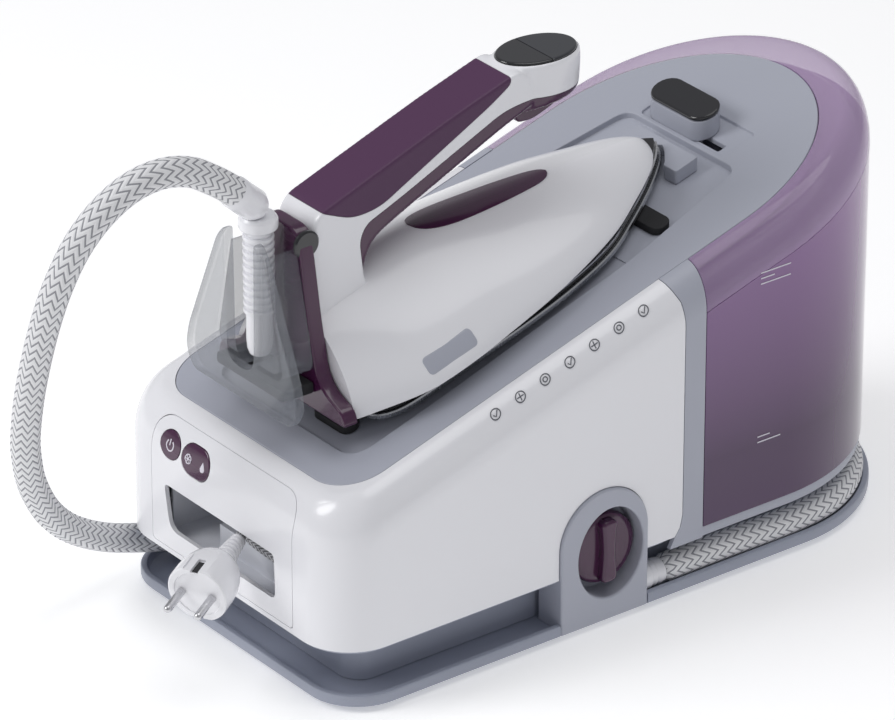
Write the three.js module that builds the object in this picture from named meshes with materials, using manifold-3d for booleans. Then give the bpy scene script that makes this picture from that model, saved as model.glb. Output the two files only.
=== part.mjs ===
// Steam generator iron: a station with a boiler, a pump and a lift-off water tank, and the iron that
// rests on its sloping deck, joined to it by a braided steam hose.
// Millimetres, +Z up. +X is the right side (the rinse knob), -Y the front (buttons, mains cord
// compartment, heel of the iron) and +Y the rear (the tank). Z = 0 is the underside of the feet.

import * as THREE from 'three';
import { mergeVertices } from 'three/addons/utils/BufferGeometryUtils.js';
import Module from 'manifold-3d';

const wasm = await Module();
wasm.setup();

// ---------- driving dimensions ----------
const CENTRE_SHIFT = 1.8;         // moves the model so that its box is centred on the origin
const GAP = 0.3;                  // between pieces that touch
const DECK_TILT = THREE.MathUtils.degToRad(17);
const DECK = 192.3;               // height of the sloping deck over the origin
const SLOPE = Math.tan(DECK_TILT);

const TRAY = { halfWidth: 110, front: -220, corner: 33, rearStart: 115, rearDepth: 105 };
const TRAY_BOTTOM = 3;
const TRAY_FLOOR = 6;
const TRAY_RIM = 10.5;
const RIM_WALL = 4;

const BODY = { halfWidth: 108, front: -223.3, corner: 33, rearStart: 100, rearDepth: 117 };
const SHOULDER_IN = 18;           // how far the shoulder runs in towards the deck
const SHOULDER_DROP = 27;         // and how far it drops
const SHELL_BOTTOM = 39;
const SHELL_REAR = 22;            // plane where the white shell ends and the grey frame starts
const FRAME_REAR = 37.5;          // rear face of the grey frame
const WALL = 3;
const ROOF = 7;                   // deck thickness of the shell, with the ledge for the cover

const COVER = { halfWidth: 89.5, front: -204, corner: 27, rearStart: 80, rearDepth: 104 };
const COVER_THICK = 3;
const RECESS_DEPTH = 4;

const GROOVE_WALL = 86;           // half width of the tub inside the hose groove
const HOSE_RADIUS = 8.6;
const HOSE_X = 98;
const HOSE_Z = 15;
const CORD_RADIUS = 3.2;

const TOWER = { halfWidth: 54, rear: 146 };   // boiler housing that the tank wraps round
const HEEL_PLANE = -172;          // upright rear face of the iron, as it stands on the deck

// ---------- materials ----------
const finish = (color, roughness = 0.4, metalness = 0) =>
  new THREE.MeshStandardMaterial({ color, roughness, metalness });
const clear = (color, opacity) =>
  new THREE.MeshStandardMaterial({ color, roughness: 0.1, transparent: true, opacity });
const WHITE = finish(0xe9e9ee, 0.3);
const GREY = finish(0x9da0aa, 0.45);
const DARK_GREY = finish(0x7d828e, 0.5);
const PLUM = finish(0x3c143c, 0.35);
const GRIP = finish(0x583e5f, 0.6);
const BLACK = finish(0x17171a, 0.4);
const RUBBER = finish(0x1d1d20, 0.8);
const STEEL = finish(0xc8c8cc, 0.25, 1);
const ALUMINIUM = finish(0xb4b6ba, 0.4, 1);
const COPPER = finish(0xb0714a, 0.35, 1);
const BOARD = finish(0x2c6b45, 0.6);
const TANK = clear(0x7c5a86, 0.55);
const SMOKE = clear(0x9a9ca2, 0.45);
const BRAID = finish(0xc2c2c6, 0.8);
const CORD = finish(0x6a6a70, 0.8);

// ---------- helpers ----------
const toSolid = (geometry) => {
  geometry.deleteAttribute('normal');
  geometry.deleteAttribute('uv');
  const merged = mergeVertices(geometry, 1e-4);
  return new wasm.Manifold(new wasm.Mesh({
    numProp: 3,
    vertProperties: new Float32Array(merged.attributes.position.array),
    triVerts: new Uint32Array(merged.index.array),
  }));
};

const toGeometry = (solid) => {
  const mesh = solid.getMesh();
  const geometry = new THREE.BufferGeometry();
  geometry.setAttribute('position', new THREE.BufferAttribute(mesh.vertProperties, 3));
  geometry.setIndex(new THREE.BufferAttribute(mesh.triVerts, 1));
  return geometry;
};

const join = (...solids) => solids.reduce((a, b) => a.add(b));
const cut = (solid, ...tools) => tools.reduce((a, b) => a.subtract(b), solid);
const common = (...solids) => solids.reduce((a, b) => a.intersect(b));
const largest = (solid) => solid.decompose().reduce((a, b) => (b.volume() > a.volume() ? b : a));

const addPart = (group, name, solid, material) => {
  const mesh = new THREE.Mesh(toGeometry(largest(solid)), material);
  mesh.name = name;
  group.add(mesh);
  return mesh;
};

// A block between two corners.
const block = (x0, y0, z0, x1, y1, z1) => {
  const geometry = new THREE.BoxGeometry(x1 - x0, y1 - y0, z1 - z0);
  geometry.translate((x0 + x1) / 2, (y0 + y1) / 2, (z0 + z1) / 2);
  return toSolid(geometry);
};

const FACING = {
  x: new THREE.Matrix4().makeBasis(
    new THREE.Vector3(0, 1, 0), new THREE.Vector3(0, 0, 1), new THREE.Vector3(1, 0, 0)),
  y: new THREE.Matrix4().makeBasis(
    new THREE.Vector3(1, 0, 0), new THREE.Vector3(0, 0, 1), new THREE.Vector3(0, -1, 0)),
  z: new THREE.Matrix4(),
};

// A flat outline pushed along an axis from one plane to another. Outlines for x hold (y, z) points,
// for y (x, z) points and for z (x, y) points.
const slab = (shape, axis, from, to, options = {}) => {
  const { round = 0, steps = 3, curveSegments = 5, outward = false } = options;
  const geometry = new THREE.ExtrudeGeometry(shape, {
    depth: to - from - 2 * round,
    curveSegments,
    bevelEnabled: round > 0,
    bevelThickness: round,
    bevelSize: round,
    bevelOffset: outward ? 0 : -round,
    bevelSegments: steps,
  });
  geometry.translate(0, 0, axis === 'y' ? round - to : from + round);
  geometry.applyMatrix4(FACING[axis]);
  return toSolid(geometry);
};

// A closed outline through [a, b, corner radius] points.
const outline = (points) => {
  const shape = new THREE.Shape();
  points.forEach(([a, b, radius = 0], i) => {
    const before = points[(i + points.length - 1) % points.length];
    const after = points[(i + 1) % points.length];
    const here = new THREE.Vector2(a, b);
    const inward = new THREE.Vector2(before[0] - a, before[1] - b).normalize().multiplyScalar(radius);
    const outward = new THREE.Vector2(after[0] - a, after[1] - b).normalize().multiplyScalar(radius);
    const start = here.clone().add(inward);
    const end = here.clone().add(outward);
    if (i === 0) shape.moveTo(start.x, start.y);
    else shape.lineTo(start.x, start.y);
    if (radius > 0) shape.quadraticCurveTo(a, b, end.x, end.y);
  });
  shape.closePath();
  return shape;
};

// Station outline seen from above: straight sides, round front corners and a semi-elliptic rear.
const plan = ({ halfWidth, front, corner, rearStart, rearDepth }, grow = 0) => {
  const w = halfWidth + grow;
  const f = front - grow;
  const r = Math.max(corner + grow, 2);
  const shape = new THREE.Shape();
  shape.moveTo(-w + r, f);
  shape.lineTo(w - r, f);
  shape.absarc(w - r, f + r, r, -Math.PI / 2, 0, false);
  shape.lineTo(w, rearStart);
  shape.absellipse(0, rearStart, w, rearDepth + grow, 0, Math.PI, false);
  shape.lineTo(-w, f + r);
  shape.absarc(-w + r, f + r, r, Math.PI, Math.PI * 1.5, false);
  return shape;
};

const stadium = (cx, cy, length, width) => {
  const half = (length - width) / 2;
  const shape = new THREE.Shape();
  shape.absarc(cx + half, cy, width / 2, -Math.PI / 2, Math.PI / 2, false);
  shape.absarc(cx - half, cy, width / 2, Math.PI / 2, Math.PI * 1.5, false);
  shape.closePath();
  return shape;
};

const oval = (cx, cy, rx, ry) => {
  const shape = new THREE.Shape();
  shape.absellipse(cx, cy, rx, ry, 0, Math.PI * 2, false);
  return shape;
};

// Slides a shape made over level ground up the slope of the deck.
const sheared = (solid) => solid.transform([1, 0, 0, 0, 0, 1, SLOPE, 0, 0, 0, 1, 0, 0, 0, 0, 1]);

// A slab whose top and bottom follow the deck, at heights counted from the deck.
const deckSlab = (shape, from, to, options) => sheared(slab(shape, 'z', DECK + from, DECK + to, options));

const turned = (profile, segments = 20) =>
  new THREE.LatheGeometry(profile.map(([r, h]) => new THREE.Vector2(r, h)), segments);

// A turned piece whose axis runs along x, y or z, with profile heights counted along it.
const lathe = (profile, axis, at = [0, 0, 0], segments = 20) => {
  const geometry = turned(profile, segments);
  if (axis === 'x') geometry.rotateZ(-Math.PI / 2);
  if (axis === 'z') geometry.rotateX(Math.PI / 2);
  geometry.translate(...at);
  return toSolid(geometry);
};

const rod = (radius, axis, at, length, segments = 20) =>
  lathe([[0, 0], [radius, 0], [radius, length], [0, length]], axis, at, segments);

// A round tube along points, closed at both ends.
const tube = (points, radius, steps, sides = 10) => {
  const path = new THREE.CatmullRomCurve3(points.map((p) => new THREE.Vector3(...p)), false, 'centripetal');
  const section = new THREE.Shape();
  section.absarc(0, 0, radius, 0, Math.PI * 2, false);
  return toSolid(new THREE.ExtrudeGeometry(section, {
    steps, curveSegments: sides / 2, bevelEnabled: false, extrudePath: path,
  }));
};

// ---------- station: common forms ----------
// The outer form of the station, or the same form moved in by a wall and a roof thickness.
const stationForm = (wall = 0, roof = 0, floor = SHELL_BOTTOM) => {
  const depth = 330;
  const geometry = new THREE.ExtrudeGeometry(plan(BODY, -SHOULDER_IN - wall), {
    depth,
    curveSegments: 6,
    bevelThickness: SHOULDER_DROP,
    bevelSize: SHOULDER_IN,
    bevelSegments: 3,
  });
  geometry.translate(0, 0, DECK - roof - SHOULDER_DROP - depth);
  const form = sheared(toSolid(geometry));
  return common(form, block(-150, -260, floor, 150, 260, 330));
};

const behind = (y) => block(-150, y, -10, 150, 300, 340);
const before = (y) => block(-150, -300, -10, 150, y, 340);

const KNOB = { y: -31, z: 46, radius: 21.5 };
const PLATE = { y: -35.5, halfWidth: 31.5, archZ: 56 };
const plateOutline = (grow = 0) => {
  const w = PLATE.halfWidth + grow;
  const shape = new THREE.Shape();
  shape.moveTo(PLATE.y - w, TRAY_BOTTOM);
  shape.lineTo(PLATE.y + w, TRAY_BOTTOM);
  shape.absarc(PLATE.y, PLATE.archZ, w, 0, Math.PI, false);
  shape.closePath();
  return shape;
};

const PANEL = [[-69, 42, 2], [65.5, 42, 2], [65.5, 123, 14], [-69, 123, 14]];
const panelOutline = (grow) => outline(PANEL.map(([x, z, r]) => [
  x + Math.sign(x) * grow, z + (z > 80 ? grow : -grow), r]));
const cordOpening = outline([[-57, 82.5, 4], [-43.5, 54, 16], [49.5, 54, 4], [48.5, 82.5, 3]].reverse());
const POWER = { x: -52, z: 108.5, r: 9.2 };
const CLEAN = { x: -27.5, z: 107.5, length: 26.5, width: 18.5 };
const powerShape = (grow = 0) => oval(POWER.x, POWER.z, POWER.r + grow, POWER.r - 1.2 + grow);
const cleanShape = (grow = 0) =>
  stadium(CLEAN.x, CLEAN.z, CLEAN.length + 2 * grow, CLEAN.width + 2 * grow);

// ---------- station: base ----------
const baseTray = () => {
  const dish = cut(
    slab(plan(TRAY), 'z', TRAY_BOTTOM, TRAY_RIM),
    slab(plan(TRAY, -RIM_WALL), 'z', TRAY_FLOOR, 40),
  );
  return cut(dish, slab(plateOutline(GAP), 'x', 87.5, 130));
};

const tubPlan = (inset) => plan({ ...TRAY, corner: 14 }, GROOVE_WALL - TRAY.halfWidth - inset);
const baseTub = () => {
  const wall = cut(slab(tubPlan(0), 'z', TRAY_FLOOR + GAP, 31.4), slab(tubPlan(WALL), 'z', 0, 60));
  const upper = common(slab(tubPlan(0), 'z', 31, 38.7), before(SHELL_REAR));
  const ledge = common(slab(plan(BODY, -2), 'z', 35.7, 38.7), before(SHELL_REAR));
  const ring = cut(join(wall, upper, ledge), slab(tubPlan(WALL), 'z', 0, 60));
  return cut(ring, slab(plateOutline(GAP + 0.1), 'x', 87.5, 130), rod(6, 'x', [75, KNOB.y, KNOB.z], 20));
};

const foot = (x, y) => lathe([[0, 0], [9, 0], [10, 1], [9, 2.7], [0, 2.7]], 'z', [x, y, 0]);

// ---------- station: casing ----------
const coverPocket = (grow) => join(
  deckSlab(plan(COVER, grow), -COVER_THICK - GAP, 40),
  deckSlab(plan(COVER, -6), -20, 40),
);

const mainShell = () => cut(
  common(stationForm(), before(SHELL_REAR)),
  stationForm(WALL, ROOF, 0),
  coverPocket(0.4),
  slab(panelOutline(0.35), 'y', -240, -195),
  slab(plateOutline(0.4), 'x', 95, 130),
);

const frontPanel = () => cut(
  common(cut(stationForm(), stationForm(2.7, 4, 0)), slab(panelOutline(0), 'y', -240, -195)),
  slab(cordOpening, 'y', -240, -195),
  slab(powerShape(0.4), 'y', -240, -190),
  slab(cleanShape(0.4), 'y', -240, -190),
  coverPocket(0.8),
);

const BUTTON_PROUD = 0.3;
const button = (shape) => common(
  slab(shape, 'y', -240, -205),
  stationForm(-BUTTON_PROUD, -BUTTON_PROUD),
);

const MAINS_EXIT = { x: -12, z: 90 };
const LINER = { x0: -62, x1: 82, y0: -215, y1: -148, z0: 47, z1: 98 };
const SHELF = 64;
const cordCompartment = () => {
  const { x0, x1, y0, y1, z0, z1 } = LINER;
  const box = cut(block(x0, y0, z0, x1, y1, z1), block(x0 + 2, y0 - 1, z0 + 2, x1 - 2, y1 - 2, z1 - 2));
  const shelf = block(-26, -207, z0 + 1, x1 - 1, y1 - 1, SHELF);
  return cut(join(box, shelf), rod(4.6, 'y', [MAINS_EXIT.x, y1 - 4, MAINS_EXIT.z], 10));
};

const recessOutline = (grow) => outline([
  [66 + grow, -181 - grow, 14], [66 + grow, -120, 20], [62 + grow, 20, 20],
  [50 + grow, 106 + grow, 9], [-50 - grow, 106 + grow, 9], [-62 - grow, 20, 20],
  [-66 - grow, -120, 20], [-66 - grow, -181 - grow, 14],
]);
const SLIDER = { x: -13, y: 115, length: 52, width: 20 };
const topCover = () => cut(
  join(
    deckSlab(plan(COVER), -COVER_THICK, 0),
    deckSlab(recessOutline(3), -RECESS_DEPTH - 3, 0),
    deckSlab(outline([[-44, 99, 3], [36, 99, 3], [36, 136, 3], [-44, 136, 3]]), -5, 0),
  ),
  deckSlab(recessOutline(0), -RECESS_DEPTH, 40),
  deckSlab(outline([[-41.5, 108.8, 3], [34, 108.8, 3], [34, 133, 3], [-41.5, 133, 3]]), -1.6, 40),
  deckSlab(outline([[-20, 112, 1], [26, 112, 1], [26, 118, 1], [-20, 118, 1]]), -20, 40),
);

const restPad = (x, y) => deckSlab(stadium(x, y, 34, 12), -RECESS_DEPTH + GAP, 0.7);

const lockSlider = () => join(
  deckSlab(stadium(SLIDER.x, SLIDER.y + 4, SLIDER.length, SLIDER.width), -1.2, 11),
  deckSlab(outline([[-18, 112.8], [6, 112.8], [6, 117.2], [-18, 117.2]]), -9, 0),
);
const sliderCap = () =>
  deckSlab(stadium(SLIDER.x, SLIDER.y + 4, SLIDER.length, SLIDER.width), 11.3, 14, { round: 1, steps: 2 });

// ---------- station: grey frame and tank ----------
const towerSolid = (grow) =>
  block(-TOWER.halfWidth - grow, 0, 0, TOWER.halfWidth + grow, TOWER.rear + grow, 340);

const VALVE = { x: -80, z: 56 };
const rearFrame = () => {
  const band = cut(
    common(stationForm(0, 0, 32), behind(SHELL_REAR + GAP), before(FRAME_REAR)),
    common(stationForm(WALL, ROOF, 0), before(FRAME_REAR - WALL)),
    coverPocket(0.4),
  );
  const shelf = common(slab(plan(BODY, -1), 'z', 32, 38.7), behind(FRAME_REAR - 1));
  const tower = common(stationForm(10, 14, 34), towerSolid(0), behind(FRAME_REAR - 1));
  const inside = common(stationForm(10, 14 + WALL, 0), towerSolid(-WALL), behind(SHELL_REAR - 10));
  const hollow = cut(inside, block(-150, -300, 0, 150, 300, 36));
  return cut(join(band, shelf, tower), hollow, rod(9, 'y', [VALVE.x, 30, VALVE.z], 12));
};

const belowLid = deckSlab(plan(BODY, 20), -330, -SHOULDER_DROP - GAP / 2);
const aboveTank = deckSlab(plan(BODY, 20), -SHOULDER_DROP + GAP / 2, 30);
const tankFront = FRAME_REAR + 0.5;

const waterTank = () => {
  const outer = cut(common(stationForm(), behind(tankFront)), towerSolid(3));
  const inner = cut(
    common(stationForm(WALL, WALL, SHELL_BOTTOM + WALL), behind(tankFront + WALL)), towerSolid(3 + WALL));
  return cut(common(cut(outer, inner), belowLid), rod(7.4, 'y', [VALVE.x, 30, VALVE.z], 20));
};

const FILLER = { x: 0, y: 166, radius: 13 };
const tankLid = () => {
  const outer = cut(common(stationForm(), behind(tankFront)), towerSolid(3), deckSlab(plan(COVER, 0.6), -10, 40));
  const inner = cut(common(stationForm(WALL, 13), behind(tankFront + WALL)), towerSolid(3 + WALL));
  return cut(common(cut(outer, inner), aboveTank), rod(FILLER.radius, 'z', [FILLER.x, FILLER.y, 200], 80));
};

const tankValve = () => lathe(
  [[0, 0], [5, 0], [7, 3], [7, 12], [10, 12], [10, 15], [0, 15]], 'y',
  [VALVE.x, tankFront - 11.5 + WALL, VALVE.z]);

// ---------- station: rinse knob ----------
const knobPlate = () => cut(
  slab(plateOutline(0), 'x', 88, 110, { round: 1.5, steps: 2 }),
  slab(oval(KNOB.y, KNOB.z, 23.4, 28.5), 'x', 93, 130),
  rod(5.4, 'x', [80, KNOB.y, KNOB.z], 30),
);

const rinseKnob = () => join(
  lathe([[0, 0], [21.5, 0], [KNOB.radius, 4], [18, 6.5], [0, 6.5]], 'x', [93.4, KNOB.y, KNOB.z]),
  slab(outline([[KNOB.y - 6, KNOB.z - 20, 5], [KNOB.y + 6, KNOB.z - 20, 5],
    [KNOB.y + 6, KNOB.z + 20, 5], [KNOB.y - 6, KNOB.z + 20, 5]]), 'x', 98, 109.5, { round: 1.5, steps: 2 }),
  rod(5, 'x', [80, KNOB.y, KNOB.z], 14),
);

// ---------- station: works inside ----------
const boiler = () => lathe(
  [[0, 0], [30, 0], [40, 8], [42, 20], [42, 95], [40, 107], [30, 115], [0, 115]], 'y', [0, -75, 108], 28);
const boilerHeater = () => cut(
  slab(oval(0, 52, 30, 8), 'y', -60, 25),
  slab(oval(0, 52, 24, 4), 'y', -70, 40),
);
const waterPump = () => join(
  rod(19, 'y', [-72, -90, 75], 60),
  rod(7, 'y', [-72, -31, 75], 12),
);
const pumpMount = () => block(-92, -85, 52, -52, -40, 55.6);
const steamValve = () => join(
  block(52, -128, 98, 78, -100, 126),
  rod(9, 'z', [65, -114, 125], 16),
);
const controlBoard = () => block(-60, -140, 62, 60, -138, 112);
const waterPipe = () => tube(
  [[-80, 29, 56], [-80, 20, 56], [-79, 8, 60], [-74, -2, 71], [-72, -10, 75], [-72, -17.6, 75]], 4, 14, 8);
const feedPipe = () => tube(
  [[-72, -91.2, 75], [-72, -99, 76], [-62, -110, 84], [-30, -108, 100], [-13, -92, 107], [-12, -77, 108]],
  3, 18, 8);
const steamPipe = () => tube(
  [[0, -45, 150.8], [1, -46, 157], [14, -52, 162], [40, -68, 153], [60, -80, 128], [65, -89, 114],
    [65, -98.4, 112]], 3.5, 18, 8);

// ---------- steam hose ----------
// Out of the gland behind the knob plate, round the rear in the groove, forward along the left side and
// over the front rim, then in one free arch up to the cord boot at the heel of the iron.
const HOSE_START = 14;
const grooveBend = (steps) => Array.from({ length: steps + 1 }, (_, i) => {
  const t = (Math.PI * i) / steps;
  return [HOSE_X * Math.cos(t), TRAY.rearStart + (TRAY.rearDepth - 12) * Math.sin(t), HOSE_Z];
});
const HOSE_ARCH = [
  [-98, -150, 15], [-98.5, -180, 16.5], [-100.5, -198, 20], [-101, -214, 24.5], [-98.7, -233, 32],
  [-94.9, -251, 42], [-89.8, -268, 54.5], [-83, -284, 71], [-76, -296, 88], [-68.8, -306, 106.5],
  [-61.7, -313, 124.5], [-55, -318, 142], [-42.6, -323, 174], [-30.7, -325.3, 204], [-19, -325.5, 234],
  [-9, -323, 260], [-1, -315.5, 284], [6, -303.5, 303], [10, -287, 314.5], [11.5, -268, 317.5],
  [10.5, -249, 312.5], [8, -234, 303], [4.5, -219.5, 292], [1.8, -208.5, 282], [0, -199.5, 274],
];
const hosePoints = [
  [HOSE_X, HOSE_START, HOSE_Z], [HOSE_X, 60, HOSE_Z], ...grooveBend(10), [-HOSE_X, 60, HOSE_Z],
  [-HOSE_X, -30, HOSE_Z], [-HOSE_X, -110, HOSE_Z], ...HOSE_ARCH,
];
const steamHose = () => tube(hosePoints, HOSE_RADIUS, 76, 8);
const hoseGland = () => lathe(
  [[0, 0], [8.6, 0], [8.6, 6], [7.6, 8], [8.2, 10], [7.6, 12], [8.2, 14], [7.6, 17.2], [0, 17.2]], 'y',
  [HOSE_X, PLATE.y + PLATE.halfWidth + GAP, HOSE_Z]);

// ---------- mains cord ----------
const HANK = { x: 28, y: -182.6, length: 100, width: 59, z0: SHELF + GAP, z1: 91 };
const mainsHank = () => {
  const hole = 4 * (2 * CORD_RADIUS);
  return cut(
    slab(stadium(HANK.x, HANK.y, HANK.length, HANK.width), 'z', HANK.z0, HANK.z1),
    slab(stadium(HANK.x, HANK.y, HANK.length - hole, HANK.width - hole), 'z', 0, 120),
  );
};
const mainsGland = () => lathe(
  [[0, 0], [4.2, 0], [4.2, 5.6], [7, 5.6], [7, 8.6], [0, 8.6]], 'y',
  [MAINS_EXIT.x, -153.2, MAINS_EXIT.z]);
const PLUG_START = new THREE.Vector3(14, -222, 77);
const PLUG_AXIS = new THREE.Vector3(0.445, -0.878, -0.178).normalize();
const PIN_LINE = new THREE.Vector3(-0.155, 0.176, -0.972);
const mainsLead = () => tube(
  [[-8, -216, 78.2], [3, -216, 78.2], [9.5, -217, 78], [13.6, -221.3, 77.15]], CORD_RADIUS, 8, 8);
const plugRelief = () => lathe([[0, 0], [4.2, 0], [5.6, 10], [7, 22], [0, 22]], 'z');
const plugBody = () => lathe(
  [[0, 22.3], [9, 22.3], [14, 27], [17.5, 35], [18.5, 44], [18.5, 53], [0, 53]], 'z', [0, 0, 0], 28);
const plugPin = (side) => lathe(
  [[0, 53.3], [2.4, 53.3], [2.4, 70.5], [1.4, 72.3], [0, 72.3]], 'z', [side * 9.5, 0, 0], 14);

// ---------- iron ----------
// Built in its own frame, which lies on the deck: x across, y towards the tip, z off the deck.
const TILT = new THREE.Matrix4().makeRotationX(DECK_TILT).setPosition(0, 0, DECK);
const UNTILT = TILT.clone().invert();
// Takes a piece drawn upright, in the station's frame, into the iron's frame.
const upright = (solid) => solid.transform(UNTILT.elements);

const mirrored = (side) => {
  const points = new THREE.SplineCurve(side.map(([x, y]) => new THREE.Vector2(x, y))).getPoints(22);
  const left = points.slice(1, -1).reverse().map((p) => new THREE.Vector2(-p.x, p.y));
  return new THREE.Shape([...points, ...left]);
};
const soleShape = (inset) => mirrored([
  [0, 95 - inset * 1.6], [13 - inset * 0.5, 86 - inset], [26 - inset * 0.8, 66], [40 - inset * 0.9, 42],
  [53 - inset, 15], [59.5 - inset, -18], [62 - inset, -60], [62 - inset, -110], [61 - inset, -146],
  [52 - inset, -161 + inset], [30, -166 + inset], [0, -167 + inset],
]);
const creaseShape = (grow) => mirrored([
  [0, 64 + grow], [10 + grow * 0.7, 52 + grow * 0.5], [20 + grow * 0.9, 30], [32 + grow, 2], [40 + grow, -32],
  [44 + grow, -80], [46 + grow, -126], [46 + grow, -170], [44 + grow, -200], [0, -206],
]);
const crownShape = (grow) => mirrored([
  [0, 36 + grow], [5 + grow * 0.6, 24 + grow * 0.5], [9 + grow, 4], [13 + grow, -30], [18 + grow, -80],
  [20 + grow, -126], [20 + grow, -170], [18 + grow, -200], [0, -206],
]);
const topLine = (grow) => outline([
  [-230, -40], [120, -40], [120, 2], [91 + grow, 6 + grow], [83 + grow, 20 + grow, 6], [18, 37.5 + grow, 20],
  [-77, 63 + grow, 20], [-230, 68 + grow],
]);
const BODY_BOTTOM = 13.3;
const heelCut = (y) => upright(block(-150, y, -100, 150, 400, 500));
// The form of the iron's body, grown or shrunk evenly.
const chamfered = (shape, top) => {
  const geometry = new THREE.ExtrudeGeometry(shape, {
    depth: 20, bevelThickness: CHAMFER, bevelSize: CHAMFER, bevelSegments: 2,
  });
  geometry.translate(0, 0, top - CHAMFER - 20);
  return toSolid(geometry);
};
const CHAMFER = 26;
const ironForm = (grow = 0) => common(
  join(chamfered(creaseShape(grow), 39 + grow), chamfered(crownShape(grow), 64 + grow)),
  slab(topLine(grow), 'x', -90, 90),
  heelCut(HEEL_PLANE - grow),
);

const INSET = { y: -29, rx: 12.5, ry: 47.5 };
const ironShell = () => {
  const form = common(ironForm(), block(-90, -200, BODY_BOTTOM, 90, 120, 90));
  const inner = ironForm(-2.6);
  const pocket = cut(slab(oval(0, INSET.y, INSET.rx + 0.4, INSET.ry + 0.4), 'z', 20, 90), ironForm(-1.4));
  return cut(form, inner, pocket, badgeSlab(0.3), gap(handleBody()));
};
const bodyInset = () => common(
  slab(oval(0, INSET.y, INSET.rx, INSET.ry), 'z', 20, 90), cut(ironForm(0.7), ironForm(-1)));
const badgeSlab = (grow) => slab(outline([
  [-129 - grow, 20 - grow, 4], [-94 + grow, 20 - grow, 4], [-94 + grow, 29 + grow, 4], [-129 - grow, 29 + grow, 4],
]), 'x', 60, 68.6 + grow);
const sideBadge = () => common(badgeSlab(0), cut(ironForm(0.5), ironForm(-1.1)));

const HANDLE_ROUND = 7;
// Mid line of the handle's rounded edge, seen from the side.
const BEAM = outline([
  [-158, 49, 1], [-141.5, 103, 3], [-136, 110, 3], [-40, 114.5, 20], [7, 115, 3], [7, 103, 3],
  [-11, 101.5, 10], [-90, 92, 20], [-116, 89, 14], [-131, 68, 14], [-131, 49, 1],
]);
const HEAD = { y: -1.6, z: 312, rx: 20, ry: 28 };
const handleBody = () => {
  const beam = slab(BEAM, 'x', -17, 17, { round: HANDLE_ROUND, steps: 3, curveSegments: 3, outward: true });
  const flare = common(
    slab(outline([[-172, 36], [-120, 36], [-120, 78], [-158, 78]]), 'x', -28, 28),
    slab(outline([[-28, 30], [28, 30], [16, 79], [-16, 79]]), 'y', -200, -100));
  const head = common(
    upright(slab(oval(0, HEAD.y, HEAD.rx, HEAD.ry), 'z', HEAD.z - 34, HEAD.z)),
    slab(outline([[-20, 90], [12, 92], [50, 85], [70, 85], [70, 150], [-20, 150]]), 'x', -30, 30));
  return common(join(beam, flare, head), heelCut(HEEL_PLANE + GAP));
};
const gripRegion = slab(outline([
  [-138, 119, 2], [-122, 104, 8], [-101, 98, 10], [-14, 112, 10], [5, 117, 6], [7, 140], [-145, 140],
]), 'x', -40, 40);
const stripRegion = slab(outline([
  [-129, 66], [-119, 90, 10], [-86, 94.5, 10], [-10, 103, 14], [14, 96.5, 10], [49, 91], [75, 84], [75, 40],
  [-119, 40],
]), 'x', -40, 40);
const triggerPocket = block(-9.5, 2.5, 70, 9.5, 45.5, 99);
const gap = (solid) => join(
  solid, solid.translate([0, GAP, 0]), solid.translate([0, -GAP, 0]),
  solid.translate([0, 0, GAP]), solid.translate([0, 0, -GAP]));
const headPocket = upright(slab(oval(0, HEAD.y, 18.4, 26.4), 'z', HEAD.z - 2, HEAD.z + 20));
const handleCore = () => cut(
  handleBody(), gap(gripRegion), gap(stripRegion), triggerPocket, headPocket);
const handleGrip = () => common(handleBody(), gripRegion);
const handleStrip = () => cut(common(handleBody(), stripRegion), triggerPocket);
const steamTrigger = () => slab(outline([
  [4, 95, 2.5], [4, 85, 3], [14, 81, 5], [30, 81.5, 5], [44, 86.5, 3], [44, 95, 2.5],
]), 'x', -8.8, 8.8, { round: 1.5, steps: 2 });

// Display and mode key share one oval in the head's pocket; the key has room below it to be pressed.
const KEY_TRAVEL = 1.2;
const splitY = -3.2;
const topPiece = (bottom) => upright(
  slab(oval(0, HEAD.y, 18, 26), 'z', bottom, HEAD.z + 1.2, { round: 0.6, steps: 2 }));
const modeKey = () => common(
  topPiece(HEAD.z - 2 + GAP + KEY_TRAVEL), upright(block(-40, -60, 200, 40, splitY - 0.2, 400)));
const displayLens = () => common(
  topPiece(HEAD.z - 2 + GAP), upright(block(-40, splitY + 0.2, 200, 40, 60, 400)));

// Heel pieces stand upright on the sloping deck, so they are drawn in the station's frame.
const heelCover = () => upright(slab(outline([
  [-61, 153, 3], [61, 153, 3], [58, 163, 6], [33, 172, 12], [27, 205, 10], [21, 240, 10], [17, 259, 9],
  [-17, 259, 9], [-21, 240, 10], [-27, 205, 10], [-33, 172, 12], [-58, 163, 6],
]), 'y', HEEL_PLANE - 10, HEEL_PLANE - GAP));
const STAND = [
  [-46, 156, 5], [46, 156, 5], [53.5, 167, 7], [51, 182, 7], [22, 250, 5], [16, 257, 3], [-16, 257, 3],
  [-22, 250, 5], [-51, 182, 7], [-53.5, 167, 7],
];
const heelStand = () => {
  const plate = slab(outline(STAND), 'y', -209.5, -203.5, { round: 1.5, steps: 2 });
  const frame = cut(
    slab(outline([[-33, 176, 10], [33, 176, 10], [16, 250, 6], [-16, 250, 6]]), 'y', -204, HEEL_PLANE - 10.3),
    slab(outline([[-30, 179, 10], [30, 179, 10], [13, 260, 2], [-13, 260, 2]]), 'y', -230, -100),
  );
  const slot = slab(outline([[-12.5, 176, 11], [12.5, 176, 11], [14, 275, 1], [-14, 275, 1]]), 'y', -230, -150);
  return upright(cut(join(plate, frame), slot));
};
const heelBar = () => upright(slab(outline([
  [-32, 164, 2], [32, 164, 2], [32, 171, 2], [-32, 171, 2]]), 'y', -203, HEEL_PLANE - 10.3));
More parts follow.
